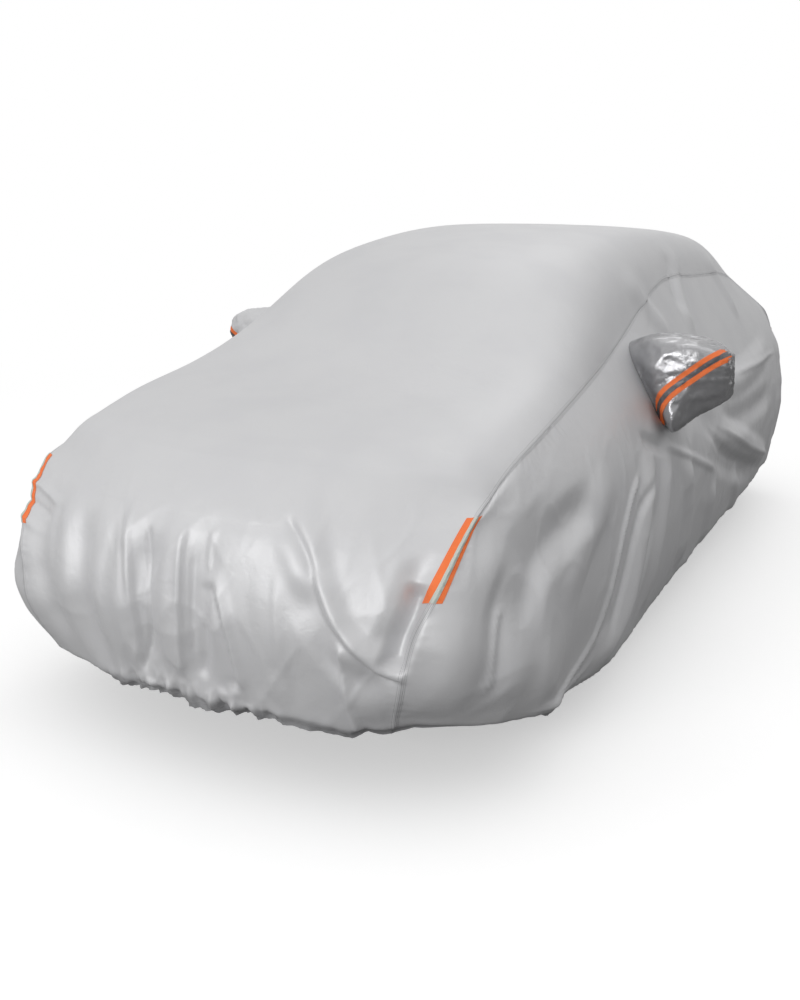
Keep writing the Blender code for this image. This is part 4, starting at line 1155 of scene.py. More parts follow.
    def _slack(self, sheet: Sheet, frames: dict[Face, FaceFrame]) -> Grid:
        """The soft unevenness of the cloth, which is deeper where it hangs.

        Args:
            sheet: the panel.
            frames: its points' share and places on each face.

        Returns:
            Its height at each point.
        """
        points = sheet.points
        ends = np.clip(frames[Face.FRONT].share + frames[Face.REAR].share, 0, 1)
        sides = np.clip(frames[Face.LEFT].share + frames[Face.RIGHT].share, 0, 1)
        hanging = np.maximum(ends, sides) * (1 - smooth_step(0.72, 1.0, points[..., 2]))
        slack = self.slack * waves(points, (0.16, 0.45), 9, 21) * (0.15 + 0.85 * hanging)
        slack += self.slack * (creased(points, (0.14, 0.40), 2, 41) - 0.25) * hanging
        return slack * smooth_step(0.0, 0.05, sheet.seam)


# Shaders ------------------------------------------------------------------------------------

@dataclass(frozen=True)
class Value:
    """A value in a shader, which can be reckoned with like a number."""

    shader: "Shader"
    socket: bpy.types.NodeSocket

    def _math(self, operation: str, *others: Union["Value", Number]) -> "Value":
        """Join this value with others through a maths node."""
        return self.shader.maths(operation, self, *others)

    def __add__(self, other: Union["Value", Number]) -> "Value":
        """This value plus another."""
        return self._math("ADD", other)

    __radd__ = __add__

    def __sub__(self, other: Union["Value", Number]) -> "Value":
        """This value less another."""
        return self._math("SUBTRACT", other)

    def __rsub__(self, other: Number) -> "Value":
        """A number less this value."""
        return self.shader.maths("SUBTRACT", other, self)

    def __mul__(self, other: Union["Value", Number]) -> "Value":
        """This value times another."""
        return self._math("MULTIPLY", other)

    __rmul__ = __mul__

    def __mod__(self, other: Number) -> "Value":
        """The rest of this value in steps of another."""
        return self._math("FLOORED_MODULO", other)

    def sine(self) -> "Value":
        """The sine of this value."""
        return self._math("SINE")

    def size(self) -> "Value":
        """This value without its sign."""
        return self._math("ABSOLUTE")

    def limited(self) -> "Value":
        """This value, kept from 0 to 1."""
        return self.shader.clamp(self)

    def between(self, low: float, high: float) -> "Value":
        """A soft rise from 0 at low to 1 at high."""
        return self.shader.rise(self, low, high)


class Shader:
    """A material or a world while its nodes are made."""

    def __init__(self, owner: Union[bpy.types.Material, bpy.types.World]) -> None:
        """Start with an empty node tree.

        Args:
            owner: the material or the world.
        """
        owner.use_nodes = True
        self.tree = owner.node_tree
        self.tree.nodes.clear()

    def node(self, kind: str, settings: Optional[dict] = None,
             sockets: Optional[dict] = None) -> bpy.types.Node:
        """Make a node.

        Args:
            kind: the node's type.
            settings: its properties.
            sockets: what goes into its inputs: values, sockets or constants.

        Returns:
            The node.
        """
        made = self.tree.nodes.new(kind)
        for name, value in (settings or {}).items():
            setattr(made, name, value)
        for name, value in (sockets or {}).items():
            socket = made.inputs[name]
            if isinstance(value, Value):
                self.tree.links.new(value.socket, socket)
            elif isinstance(value, bpy.types.NodeSocket):
                self.tree.links.new(value, socket)
            else:
                socket.default_value = value
        return made

    def maths(self, operation: str, *values: Union[Value, Number]) -> Value:
        """A maths node over up to three values."""
        made = self.node("ShaderNodeMath", {"operation": operation}, dict(enumerate(values)))
        return Value(self, made.outputs[0])

    def clamp(self, value: Value) -> Value:
        """A value kept from 0 to 1."""
        made = self.node("ShaderNodeClamp", None, {"Value": value})
        return Value(self, made.outputs[0])

    def rise(self, value: Value, low: float, high: float) -> Value:
        """A soft rise from 0 at low to 1 at high."""
        made = self.node("ShaderNodeMapRange", {"interpolation_type": "SMOOTHSTEP"},
                         {"Value": value, "From Min": low, "From Max": high})
        return Value(self, made.outputs[0])

    def attribute(self, name: str) -> Value:
        """A number that the mesh keeps at each of its points."""
        made = self.node("ShaderNodeAttribute", {"attribute_name": name})
        return Value(self, made.outputs["Fac"])

    def place(self) -> bpy.types.NodeSocket:
        """The object's own coordinates, in metres."""
        return self.node("ShaderNodeTexCoord").outputs["Object"]

    def uv(self, name: str) -> tuple[Value, Value]:
        """The two numbers of a UV map, which are metres on the cloth.

        Args:
            name: the map's name.

        Returns:
            The way across the cloth, and the way along it.
        """
        source = self.node("ShaderNodeUVMap", {"uv_map": name})
        parts = self.node("ShaderNodeSeparateXYZ", None, {"Vector": source.outputs[0]})
        return Value(self, parts.outputs["X"]), Value(self, parts.outputs["Y"])

    def noise(self, vector: bpy.types.NodeSocket, scale: float, detail: float = 3.0,
              roughness: float = 0.5) -> Value:
        """Uneven noise from 0 to 1, with so many spots to the metre."""
        made = self.node("ShaderNodeTexNoise", None, {"Vector": vector, "Scale": scale,
                                                      "Detail": detail, "Roughness": roughness})
        return Value(self, made.outputs["Fac"])

    def mix(self, share: Union[Value, float], first: Colour,
            second: Colour) -> bpy.types.NodeSocket:
        """A colour between two colours."""
        made = self.node("ShaderNodeMix", {"data_type": "RGBA"}, {0: share, 6: first, 7: second})
        return made.outputs[2]

    def either(self, share: Union[Value, bpy.types.NodeSocket], first: bpy.types.Node,
               second: bpy.types.Node) -> bpy.types.Node:
        """A shader between two shaders."""
        return self.node("ShaderNodeMixShader", None,
                         {0: share, 1: first.outputs[0], 2: second.outputs[0]})

    def bump(self, height: Value, distance: float, strength: float,
             under: Optional[bpy.types.NodeSocket] = None) -> bpy.types.NodeSocket:
        """The normal of a surface with a height on it.

        Args:
            height: the height, from 0 to 1.
            distance: how high 1 stands, in metres.
            strength: how much of it shows.
            under: the normal that it is laid on, or None for the mesh's own.

        Returns:
            The normal.
        """
        sockets = {"Height": height, "Distance": distance, "Strength": strength}
        if under is not None:
            sockets["Normal"] = under
        return self.node("ShaderNodeBump", None, sockets).outputs[0]

    def surface(self, sockets: dict[str, object]) -> None:
        """Put out a Principled shader with these inputs as the surface."""
        made = self.node("ShaderNodeBsdfPrincipled", None, sockets)
        self.node("ShaderNodeOutputMaterial", None, {"Surface": made.outputs[0]})


THREAD_GREY = (0.30, 0.30, 0.31, 1)  # stitches, and the groove of a seam
# The grey of the painted shade along the hems, where the cloth turns under.
HEM_PAINTED_SHADE_GREY = (0.16, 0.16, 0.17, 1)


@dataclass(frozen=True)
class ClothFinish:
    """Silver coated cloth: fine weave, crumpled coat, sewn edges, painted shade at the hem.

    Attributes:
        name: the material's name.
        colour: the colour of the coat.
        worn: the colour of the rubbed coat, which an uneven noise mixes in here and there.
        metallic: how far the coat is metal.
        roughness: how rough the coat is.
        thread: the spacing of the weave.
        crinkle: the depth of the small crinkles.
        crinkle_scale: how many crinkles there are to the metre.
        stitch_lines: how far the lines of stitches lie from the seams.
        hem_stitches: how far the line of stitches lies from the hem.
        stitch: the way from one stitch to the next.
        hem_shade: how high over the hem the cloth is darkened as painted shade.
    """

    name: str
    colour: tuple[float, float, float]
    worn: tuple[float, float, float]
    metallic: float
    roughness: float
    thread: float = 0.0011
    crinkle: float = 0.0016
    crinkle_scale: float = 16.0
    stitch_lines: tuple[float, float] = (0.0045, 0.0090)
    hem_stitches: float = 0.018
    stitch: float = 0.0042
    hem_shade: float = 0.075

    def material(self) -> bpy.types.Material:
        """Make the material.

        Returns:
            The material.
        """
        made = bpy.data.materials.new(self.name)
        shader = Shader(made)
        place = shader.place()
        across, along = shader.uv("cloth")
        turn = 2 * math.pi / self.thread
        weave = (across * turn).sine() * (along * turn).sine()
        crinkles = shader.noise(place, self.crinkle_scale, 5.0, 0.55)
        ridges = 1.0 - ((crinkles - 0.5).size() * 6.0)
        cloudy = shader.noise(place, 5.0, 2.0)
        seam = shader.attribute("from_seam")
        way = shader.attribute("along_seam")
        hem = shader.attribute("from_hem")
        first, second = (self._stitches(seam, way, offset) for offset in self.stitch_lines)
        hem_line = self._stitches(hem, across + along, self.hem_stitches)
        stitches = (first + second + hem_line).limited()
        groove = 1.0 - seam.between(0.0, 0.0030)
        height = crinkles + ridges.limited() * 0.35
        normal = shader.bump(height, self.crinkle, 0.55)
        normal = shader.bump(weave, 0.00008, 0.35, normal)
        normal = shader.bump(stitches - groove, 0.0006, 0.8, normal)
        colour = shader.mix(cloudy.between(0.35, 0.75) * 0.5, (*self.colour, 1), (*self.worn, 1))
        colour = shader.mix((stitches * 0.45 + groove * 0.65).limited(), colour, THREAD_GREY)
        # Painted shade: darker towards the hem, for the shade where the cloth turns under.
        shade = (1.0 - hem.between(0.0, self.hem_shade)) * 0.55
        colour = shader.mix(shade, colour, HEM_PAINTED_SHADE_GREY)
        rough = self.roughness + (cloudy - 0.5) * 0.14 + weave * 0.015
        shader.surface({"Base Color": colour, "Metallic": self.metallic, "Roughness": rough,
                        "Normal": normal})
        return made

    def _stitches(self, away: Value, way: Value, offset: float) -> Value:
        """Short stitches along a line at an offset from an edge.

        Args:
            away: the distance from the edge.
            way: the way along it.
            offset: the line's distance from it.

        Returns:
            1 on a stitch, else 0.
        """
        line = 1.0 - ((away - offset).size()).between(0.0004, 0.0013)
        dash = (way % self.stitch).between(0.0006, 0.0014)
        return line * dash


@dataclass(frozen=True)
class TapeFinish:
    """Fluorescent woven tape with ribs across it and stitched edges.

    Attributes:
        name: the material's name.
        colour: the colour of the tape.
        stitched: the colour of its stitches.
        roughness: how rough it is.
        glow: how strongly the dye shines by itself.
        rib: the spacing of the ribs.
        thread: the spacing of the threads across the ribs.
        stitch: the way from one stitch to the next.
    """

    name: str
    colour: tuple[float, float, float]
    stitched: tuple[float, float, float, float] = (0.75, 0.30, 0.16, 1)
    roughness: float = 0.62
    glow: float = 0.02
    rib: float = 0.0016
    thread: float = 0.0009
    stitch: float = 0.0040

    def material(self) -> bpy.types.Material:
        """Make the material.

        Returns:
            The material.
        """
        made = bpy.data.materials.new(self.name)
        shader = Shader(made)
        across, along = shader.uv("cloth")
        ribs = (along * (2 * math.pi / self.rib)).sine()
        threads = (across * (2 * math.pi / self.thread)).sine()
        edge = shader.attribute("from_edge")
        line = 1.0 - ((edge - 0.003).size()).between(0.0002, 0.0009)
        stitches = line * (along % self.stitch).between(0.0006, 0.0014)
        uneven = shader.noise(shader.place(), 60.0, 3.0)
        normal = shader.bump(ribs * 0.6 + threads * 0.4, 0.00015, 0.6)
        normal = shader.bump(stitches, 0.0005, 0.8, normal)
        darker = tuple(part * 0.62 for part in self.colour)
        share = (uneven * 0.35 + ribs * 0.08).limited()
        colour = shader.mix(share, (*self.colour, 1), (*darker, 1))
        colour = shader.mix(stitches * 0.5, colour, self.stitched)
        shader.surface({"Base Color": colour, "Roughness": self.roughness, "Normal": normal,
                        "Emission Color": colour, "Emission Strength": self.glow})
        return made


@dataclass(frozen=True)
class StripFinish:
    """Reflective strip with a fine pattern of crossing lines pressed into it.

    Attributes:
        name: the material's name.
        colour: the colour of the strip.
        metallic: how far it is metal.
        roughness: how rough it is.
        cell: the spacing of the crossing lines.
    """

    name: str
    colour: tuple[float, float, float]
    metallic: float
    roughness: float
    cell: float = 0.0036

    def material(self) -> bpy.types.Material:
        """Make the material.

        Returns:
            The material.
        """
        made = bpy.data.materials.new(self.name)
        shader = Shader(made)
        across, along = shader.uv("cloth")
        turn = math.pi / self.cell
        first = ((across + along) * turn).sine().size()
        second = ((across - along) * turn).sine().size()
        lines = 1.0 - (first.between(0.05, 0.30) * second.between(0.05, 0.30))
        uneven = shader.noise(shader.place(), 40.0, 3.0)
        normal = shader.bump(lines, 0.0003, 0.7)
        darker = tuple(part * 0.55 for part in self.colour)
        share = (lines * 0.45 + uneven * 0.25).limited()
        colour = shader.mix(share, (*self.colour, 1), (*darker, 1))
        rough = self.roughness + (uneven - 0.5) * 0.2
        shader.surface({"Base Color": colour, "Metallic": self.metallic, "Roughness": rough,
                        "Normal": normal})
        return made


# Pieces -------------------------------------------------------------------------------------

@dataclass
class Finishes:
    """The materials of the cover."""

    cloth: bpy.types.Material
    # The left pocket's cloth: a darker copy of the silver cloth, as painted shade.
    pocket: bpy.types.Material
    tape: bpy.types.Material
    strip: bpy.types.Material
    # The pockets' strip: a dark grey copy of the silver strip, as painted shade.
    pocket_strip: bpy.types.Material


def finish_piece(name: str, mesh: bmesh.types.BMesh, material: bpy.types.Material,
                 thickness: float) -> bpy.types.Object:
    """Link a bmesh as a sheet in its place.

    Args:
        name: the piece's name.
        mesh: the bmesh of the sheet's outer face, which is freed.
        material: its material.
        thickness: how thick the sheet is, inward from that face.

    Returns:
        The new object.
    """
    bmesh.ops.translate(mesh, verts=mesh.verts, vec=-Vector(ROOF_REST))
    for face in mesh.faces:
        face.smooth = True
    for edge in mesh.edges:
        edge.smooth = not edge.is_boundary
    data = bpy.data.meshes.new(name)
    mesh.to_mesh(data)
    mesh.free()
    data.materials.append(material)
    made = bpy.data.objects.new(name, data)
    bpy.context.scene.collection.objects.link(made)
    solid = made.modifiers.new("thickness", "SOLIDIFY")
    solid.thickness = thickness
    solid.offset = INWARD
    return made


def grid_mesh(points: Grid, outward: Grid, numbers: dict[str, Grid],
              hole: Optional[Grid] = None) -> bmesh.types.BMesh:
    """A sheet over a grid of points, with its UV map and its numbers.

    Args:
        points: the grid.
        outward: the outward direction at each point.
        numbers: what each point keeps for the material, by name.
        hole: which points lie in a hole or on its rim, or None.

    Returns:
        The new bmesh.
    """
    rows, columns = points.shape[:2]
    mesh = bmesh.new()
    layers = {name: mesh.verts.layers.float.new(name) for name in numbers}
    bmesh.ops.create_grid(mesh, x_segments=columns - 1, y_segments=rows - 1, size=1.0)
    uv = mesh.loops.layers.uv.new("cloth")
    across = lengths_along(points.transpose(1, 0, 2)).T
    across = across - across[:, columns // 2:columns // 2 + 1]
    along = lengths_along(points)[:, columns // 2:columns // 2 + 1] + np.zeros((1, columns))
    for index, vertex in enumerate(mesh.verts):
        place = divmod(index, columns)
        vertex.co = points[place]
        vertex.index = index
        for name, layer in layers.items():
            vertex[layer] = numbers[name][place]
    if hole is not None:
        cut = [face for face in mesh.faces
               if all(hole[divmod(vertex.index, columns)] for vertex in face.verts)]
        bmesh.ops.delete(mesh, geom=cut, context="FACES_KEEP_BOUNDARY")
        bare = [vertex for vertex in mesh.verts if not vertex.link_faces]
        bmesh.ops.delete(mesh, geom=bare, context="VERTS")
    for face in mesh.faces:
        for loop in face.loops:
            place = divmod(loop.vert.index, columns)
            loop[uv].uv = (across[place], along[place])
    mesh.normal_update()
    face = next(iter(mesh.faces))
    place = divmod(face.verts[0].index, columns)
    if face.normal.dot(Vector(outward[place])) < 0:
        bmesh.ops.reverse_faces(mesh, faces=mesh.faces)
    return mesh


@dataclass
class CoverPanels:
    """The top panel and the two side panels.

    Attributes:
        form: the shape of the cloth.
    """

    form: ClothForm

    def build(self, finishes: Finishes) -> dict[str, bpy.types.Object]:
        """Build the panels, each as a piece that stands for its solid.

        Args:
            finishes: the materials.

        Returns:
            The pieces, by name.
        """
        form = self.form
        made = {"top": self._panel("top_cloth", form.top, finishes.cloth)}
        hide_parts("top_panel")
        for side, sheet in form.sides.items():
            first_row, last_row, first_column, last_column = form.block
            row, column = np.meshgrid(sheet.rows, sheet.columns, indexing="ij")
            hole = ((row >= first_row) & (row <= last_row)
                    & (column >= first_column) & (column <= last_column))
            piece = self._panel(f"side_cloth_{side.word}", sheet, finishes.cloth, hole)
            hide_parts(f"side_panel_{side.word}")
            made[side.word] = piece
        return made

    def _panel(self, name: str, sheet: Sheet, material: bpy.types.Material,
               hole: Optional[Grid] = None) -> bpy.types.Object:
        """Build one panel.

        Args:
            name: the piece's name.
            sheet: its points.
            material: its material.
            hole: which points lie in its hole or on the rim, or None.

        Returns:
            The piece.
        """
        numbers = {"from_seam": sheet.seam, "along_seam": sheet.along, "from_hem": sheet.hem}
        mesh = grid_mesh(sheet.points, sheet.normals, numbers, hole)
        piece = finish_piece(name, mesh, material, CLOTH_THICKNESS)
        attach(piece, "root")
        return piece


@dataclass
class MirrorPocket:
    """A mirror pocket, with its tape and the strip on the tape.

    Attributes:
        form: the shape of the cloth, which the pocket is sewn into.
        side: the side it is on.
        lines: fine lines in each coarse cell of its block.
        rings: rings of cloth from its seam to its cap.
        depth: the way over its cloth from its seam to its cap.
        crumple: the depth of its crumples.
        crumple_sizes: the sizes of the large and the small crumples.
        folds: how many folds run out from its seam.
        boxy: how much squarer than at its seam it is further out.
        web: how far its front edge stands before its seam.
        lean: how far its bottom lies behind its top.
        corner: how far its lower front corner is drawn forward, and down.
        band_cells: cells along the tape and across it.
        band_sway: how far the tape swings about its line.
        lifts: how far the outer faces of the tape and the strip stand over the cloth.
    """

    form: ClothForm
    side: Side
    lines: int = 9
    rings: int = 36
    depth: float = 0.30
    crumple: float = 0.0080
    crumple_sizes: tuple[float, float] = (0.055, 0.027)
    folds: int = 9
    boxy: float = 3.0
    web: float = 0.032
    lean: float = 0.045
    corner: tuple[float, float] = (0.040, 0.020)
    band_cells: tuple[int, int] = (109, 14)
    band_sway: float = 0.011
    lifts: tuple[float, float] = (0.0016, 0.0026)

    def build(self, finishes: Finishes) -> dict[str, bpy.types.Object]:
        """Build the pocket and what is sewn on it.

        Args:
            finishes: the materials.

        Returns:
            The pieces, by name.
        """
        word = self.side.word
        mesh = self._skin()
        tree = BVHTree.FromBMesh(mesh)
        # Left pocket: a darker copy of the cloth, as painted shade; the right gets the plain cloth.
        cloth = finishes.pocket if self.side is Side.LEFT else finishes.cloth
        pocket = finish_piece(f"pocket_cloth_{word}", mesh, cloth, CLOTH_THICKNESS)
        made = {"pocket": pocket}
        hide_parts(f"mirror_pocket_{word}")
        for kind, material, slot, half, lift in (
                ("tape", finishes.tape, "orange_tape", TAPE_HALF_WIDTH, self.lifts[0]),
                # The pocket's strip is the dark grey copy of the silver strip, painted shade.
                ("strip", finishes.pocket_strip, "silver_strip", STRIP_HALF_WIDTH, self.lifts[1])):
            band = self._band(tree, half, lift)
            piece = finish_piece(f"pocket_{kind}_{word}", band, material, TAPE_THICKNESS)
            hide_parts(f"mirror_{kind}_{word}")
            made[kind] = piece
        for piece in made.values():
            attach(piece, "root")
        return made

    def _skin(self) -> bmesh.types.BMesh:
        """The pocket's cloth: a cap over its block, and rings out to it from the seam.

        Returns:
            The bmesh of its outer face.
        """
        first_row, last_row, first_column, last_column = self.form.block
        rows = (last_row - first_row) * self.lines
        columns = (last_column - first_column) * self.lines
        mesh = bmesh.new()
        layers = {name: mesh.verts.layers.float.new(name)
                  for name in ("from_seam", "along_seam", "from_hem")}
        place = mesh.verts.layers.int.new("place")
        ring_of = mesh.verts.layers.int.new("ring")
        bmesh.ops.create_grid(mesh, x_segments=columns, y_segments=rows, size=1.0)
        for index, vertex in enumerate(mesh.verts):
            vertex[place], vertex[ring_of] = index, self.rings
        rim = [edge for edge in mesh.edges if edge.is_boundary]
        for ring in reversed(range(self.rings)):
            grown = bmesh.ops.extrude_edge_only(mesh, edges=rim)["geom"]
            for item in grown:
                if isinstance(item, bmesh.types.BMVert):
                    item[ring_of] = ring
            rim = [item for item in grown if isinstance(item, bmesh.types.BMEdge)
                   and all(vertex[ring_of] == ring for vertex in item.verts)]
        index = np.array([vertex[place] for vertex in mesh.verts])
        ring = np.array([vertex[ring_of] for vertex in mesh.verts])
        row = first_row + (index // (columns + 1)) / self.lines
        column = first_column + (index % (columns + 1)) / self.lines
        points = self._points(row, column, ring)
        for vertex, point in zip(mesh.verts, points):
            vertex.co = point
        bmesh.ops.recalc_face_normals(mesh, faces=mesh.faces)
        cap = max(mesh.faces, key=lambda face: face.calc_center_median().x * self.side.value)
        if cap.normal.x * self.side.value < 0:
            bmesh.ops.reverse_faces(mesh, faces=mesh.faces)
        mesh.normal_update()
        self._crumple(mesh, ring)
        uv = mesh.loops.layers.uv.new("cloth")
        middle_y, middle_z, radius = POCKET_SEAM
        for vertex, count in zip(mesh.verts, ring):
            angle = math.atan2(vertex.co.z - middle_z, vertex.co.y - middle_y)
            vertex[layers["from_seam"]] = count / self.rings * self.depth
            vertex[layers["from_hem"]] = FAR_FROM_HEM
            vertex[layers["along_seam"]] = angle * radius
        for face in mesh.faces:
            for loop in face.loops:
                loop[uv].uv = (loop.vert.co.x + loop.vert.co.y * 0.6, loop.vert.co.z)
        return mesh

    def _points(self, row: Grid, column: Grid, ring: Grid) -> Grid:
        """The outer points of the pocket over places in its block, at rings out from its seam.

        Args:
            row: the row of each place.
            column: the column of each place.
            ring: the ring of each place, counted from the seam.

        Returns:
            The points.
        """
        across, up = self.form.square(row, column)
        reach = np.maximum(np.abs(across), np.abs(up))
        out = ring / self.rings
        seam_flat = superellipse(across + NEARLY, up, POCKET_SQUARENESS) * reach[:, None]
        square = POCKET_SQUARENESS + self.boxy * smooth_step(0.05, 0.35, out)
        flat = superellipse(across + NEARLY, up, square) * reach[:, None]
        table = np.array(POCKET_RINGS)
        x, y, z, depth, height = natural_curve(np.linspace(0, 1, len(table)), table, out).T
        bulge = POCKET_TIP * (1 - reach**2) * (ring == self.rings)
        front, low = np.clip(-flat[:, 0], 0, 1), np.clip(-flat[:, 1], 0, 1)
        web = self.web * smooth_step(0.0, 0.20, out) * (1 - 0.8 * smooth_step(0.2, 0.9, out))
        y = y - web * front**2 + self.lean * low * smooth_step(0.25, 0.65, out)
        corner = front * low * smooth_step(0.02, 0.20, out) * (1 - smooth_step(0.30, 0.75, out))
        y, z = y - self.corner[0] * corner, z - self.corner[1] * corner
        points = np.stack([x + bulge, y + depth * flat[:, 0], z + height * flat[:, 1]], axis=1)
        points = points * (self.side.value, 1, 1)
        points += np.array(POCKET_SHIFTS[self.side]) * out[:, None]
        hole = POCKET_RINGS[0]
        start = np.stack([np.full_like(out, hole.x), hole.y + hole.half_depth * seam_flat[:, 0],
                          hole.z + hole.half_height * seam_flat[:, 1]], axis=1)
        start = start * (self.side.value, 1, 1)
        loop = self.form.sides[self.side].read(row, column)
        fade = (1 - smooth_step(0, 0.7, out)) * (ring < self.rings)
        return points + (loop - start) * fade[:, None]

    def _crumple(self, mesh: bmesh.types.BMesh, ring: Grid) -> None:
        """Crumple the pocket: folds that run out from its seam, and creases across them.

        Args:
            mesh: the pocket's smooth cloth, which is moved.
            ring: the ring of each point.
        """
        points = np.array([vertex.co for vertex in mesh.verts])
        angle = np.arctan2(points[:, 2] - POCKET_MIDDLE[1], points[:, 1] - POCKET_MIDDLE[0])
        out = ring / self.rings
        seed = POCKET_SEEDS[self.side]
        fan = np.cos(self.folds * angle + 2.2 * waves(points, (0.15, 0.4), 4, seed) + 2 * out)
        fold = 0.45 * np.clip(fan, -0.4, 1) * smooth_step(0.02, 0.25, out) * (1 - 0.5 * out)
        large, small = self.crumple_sizes
        crease = crumples(points, large, seed) + 0.5 * crumples(points, small, seed + 3.3) - 0.6
        height = self.crumple * (fold + 0.7 * crease * smooth_step(0.0, 0.15, out))
        for vertex, rise in zip(mesh.verts, height):
            vertex.co += vertex.normal * float(rise)
        mesh.normal_update()

    def _band(self, tree: BVHTree, half_width: float, lift: float) -> bmesh.types.BMesh:
        """A band across the front of the pocket, laid on its cloth.

        Args:
            tree: the pocket's cloth.
            half_width: half the band's width.
            lift: how far the band's outer face stands over the cloth.

        Returns:
            The band's bmesh.
        """
        path = np.array(POCKET_TAPE_PATH) * (self.side.value, 1, 1)
        along = lengths_along(path)
        shift = np.array(POCKET_SHIFTS[self.side])
        count, width = (cells + 1 for cells in self.band_cells)
        share = np.linspace(0, 1, count)
        line = natural_curve(along, path, np.linspace(0, along[-1], count))
        line = line + shift * share[:, None] * (1, 0, 1)
        line[:, 2] -= POCKET_TAPE_SLUMP[self.side] * share
        line[:, 2] += self.band_sway * np.sin(np.linspace(0.4, 9.5, count))
        run = unit(np.gradient(line, axis=0))
        beside = unit(np.cross(run, (0, 1, 0)))
        offsets = np.linspace(-half_width, half_width, width)
        mesh = bmesh.new()
        edge = mesh.verts.layers.float.new("from_edge")
        bmesh.ops.create_grid(mesh, x_segments=width - 1, y_segments=count - 1, size=1.0)
        missed = []
        distances = lengths_along(line)
        for index, vertex in enumerate(mesh.verts):
            place, step = divmod(index, width)
            spot = line[place] + beside[place] * offsets[step]
            before = Vector((spot[0], POCKET_BEFORE, spot[2]))
            hit, normal, _, _ = tree.ray_cast(before, Vector((0, 1, 0)))
            vertex.index = index
            vertex[edge] = half_width - abs(offsets[step])
            if hit is None or hit.y > POCKET_TAPE_BACK or abs(hit.x) < POCKET_TAPE_FOOT:
                missed.append(vertex)
            else:
                vertex.co = hit + normal * lift
        bmesh.ops.delete(mesh, geom=missed, context="VERTS")
        uv = mesh.loops.layers.uv.new("cloth")
        for face in mesh.faces:
            for loop in face.loops:
                place, step = divmod(loop.vert.index, width)
                loop[uv].uv = (offsets[step], distances[place])
        mesh.normal_update()
        face = next(iter(mesh.faces))
        if face.normal.y > 0:
            bmesh.ops.reverse_faces(mesh, faces=mesh.faces)
        return mesh


@dataclass
class CornerTape:
    """A tape over a corner seam, with the strip on it.

    Attributes:
        form: the shape of the cloth under the tape.
        side: the side of the cover.
        end: the end of the cover.
        rows: rows of cells along the tape.
        columns: cells across each half of it.
        lifts: how far the outer faces of the tape and the strip stand over the cloth.
    """

    form: ClothForm
    side: Side
    end: End
    rows: int = 56
    columns: int = 8
    lifts: tuple[float, float] = (0.0014, 0.0024)

    def build(self, finishes: Finishes) -> dict[str, bpy.types.Object]:
        """Build the tape and its strip.

        Args:
            finishes: the materials.

        Returns:
            The pieces, by name.
        """
        made = {}
        for kind, material, slot, half, lift in (
                ("tape", finishes.tape, "orange_tape", TAPE_HALF_WIDTH, self.lifts[0]),
                ("strip", finishes.strip, "silver_strip", STRIP_HALF_WIDTH, self.lifts[1])):
            points, normals, edge = self._patch(half)
            mesh = grid_mesh(points + normals * lift, normals, {"from_edge": edge})
            name = f"corner_{kind}_{self.end.word}_{self.side.word}"
            piece = finish_piece(name, mesh, material, TAPE_THICKNESS)
            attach(piece, "root")
            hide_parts(f"{kind}_{self.end.word}_{self.side.word}")
            made[kind] = piece
        return made

    def _patch(self, half_width: float) -> tuple[Grid, Grid, Grid]:
        """The cloth under the tape.

        Args:
            half_width: half the tape's width.

        Returns:
            Its points, their outward normals and their distances from the tape's edge.
        """
        first, last = sorted(self.form.starts[SECTION_NAMES.index(name)]
                             for name in self.end.value)
        along = np.linspace(first, last, self.rows + 1)
        share = half_width / TAPE_HALF_WIDTH
        steps = np.linspace(0, share, self.columns + 1)
        sheet, top = self.form.sides[self.side], self.form.top
        way, step = np.meshgrid(along, steps, indexing="ij")
        if self.end is End.FRONT:
            on_side = sheet.read(self.form.front - way, step)
        else:
            on_side = sheet.read(way - self.form.rear, sheet.columns[-1] - step)
        across = top.columns[-1] - step if self.side is Side.LEFT else step
        on_top = top.read(way, across)
        points = np.concatenate([on_side[:, ::-1], on_top[:, 1:]], axis=1)
        normals = grid_normals(points)
        middle = normals[self.rows // 2, self.columns]
        outward = points[self.rows // 2, self.columns] - np.array(COVER_MIDDLE)
        if middle @ outward < 0:
            normals = -normals
        soft = normals.copy()
        for _ in range(3):
            soft[:, 1:-1] = unit(soft[:, :-2] + soft[:, 1:-1] + soft[:, 2:])
        widths = np.concatenate([steps[::-1], steps[1:]]) * TAPE_HALF_WIDTH
        edge = np.broadcast_to(half_width - widths, points.shape[:2])
        return points, soft, edge


# The studio ---------------------------------------------------------------------------------

WHITE = (1, 1, 1, 1)


@dataclass(frozen=True)
class Lamp:
    """A soft light over the scene.

    Attributes:
        name: its name.
        place: where it is.
        aim: the point that it shines at.
        size: its width and its height.
        power: its power in watts.
    """

    name: str
    place: tuple[float, float, float]
    aim: tuple[float, float, float]
    size: tuple[float, float]
    power: float

    def build(self) -> None:
        """Hang the light."""
        data = bpy.data.lights.new(self.name, "AREA")
        data.shape = "RECTANGLE"
        data.size, data.size_y = self.size
        data.energy = self.power
        made = bpy.data.objects.new(self.name, data)
        bpy.context.scene.collection.objects.link(made)
        made.location = self.place
        away = Vector(self.place) - Vector(self.aim)
        made.rotation_euler = away.to_track_quat("Z", "Y").to_euler()


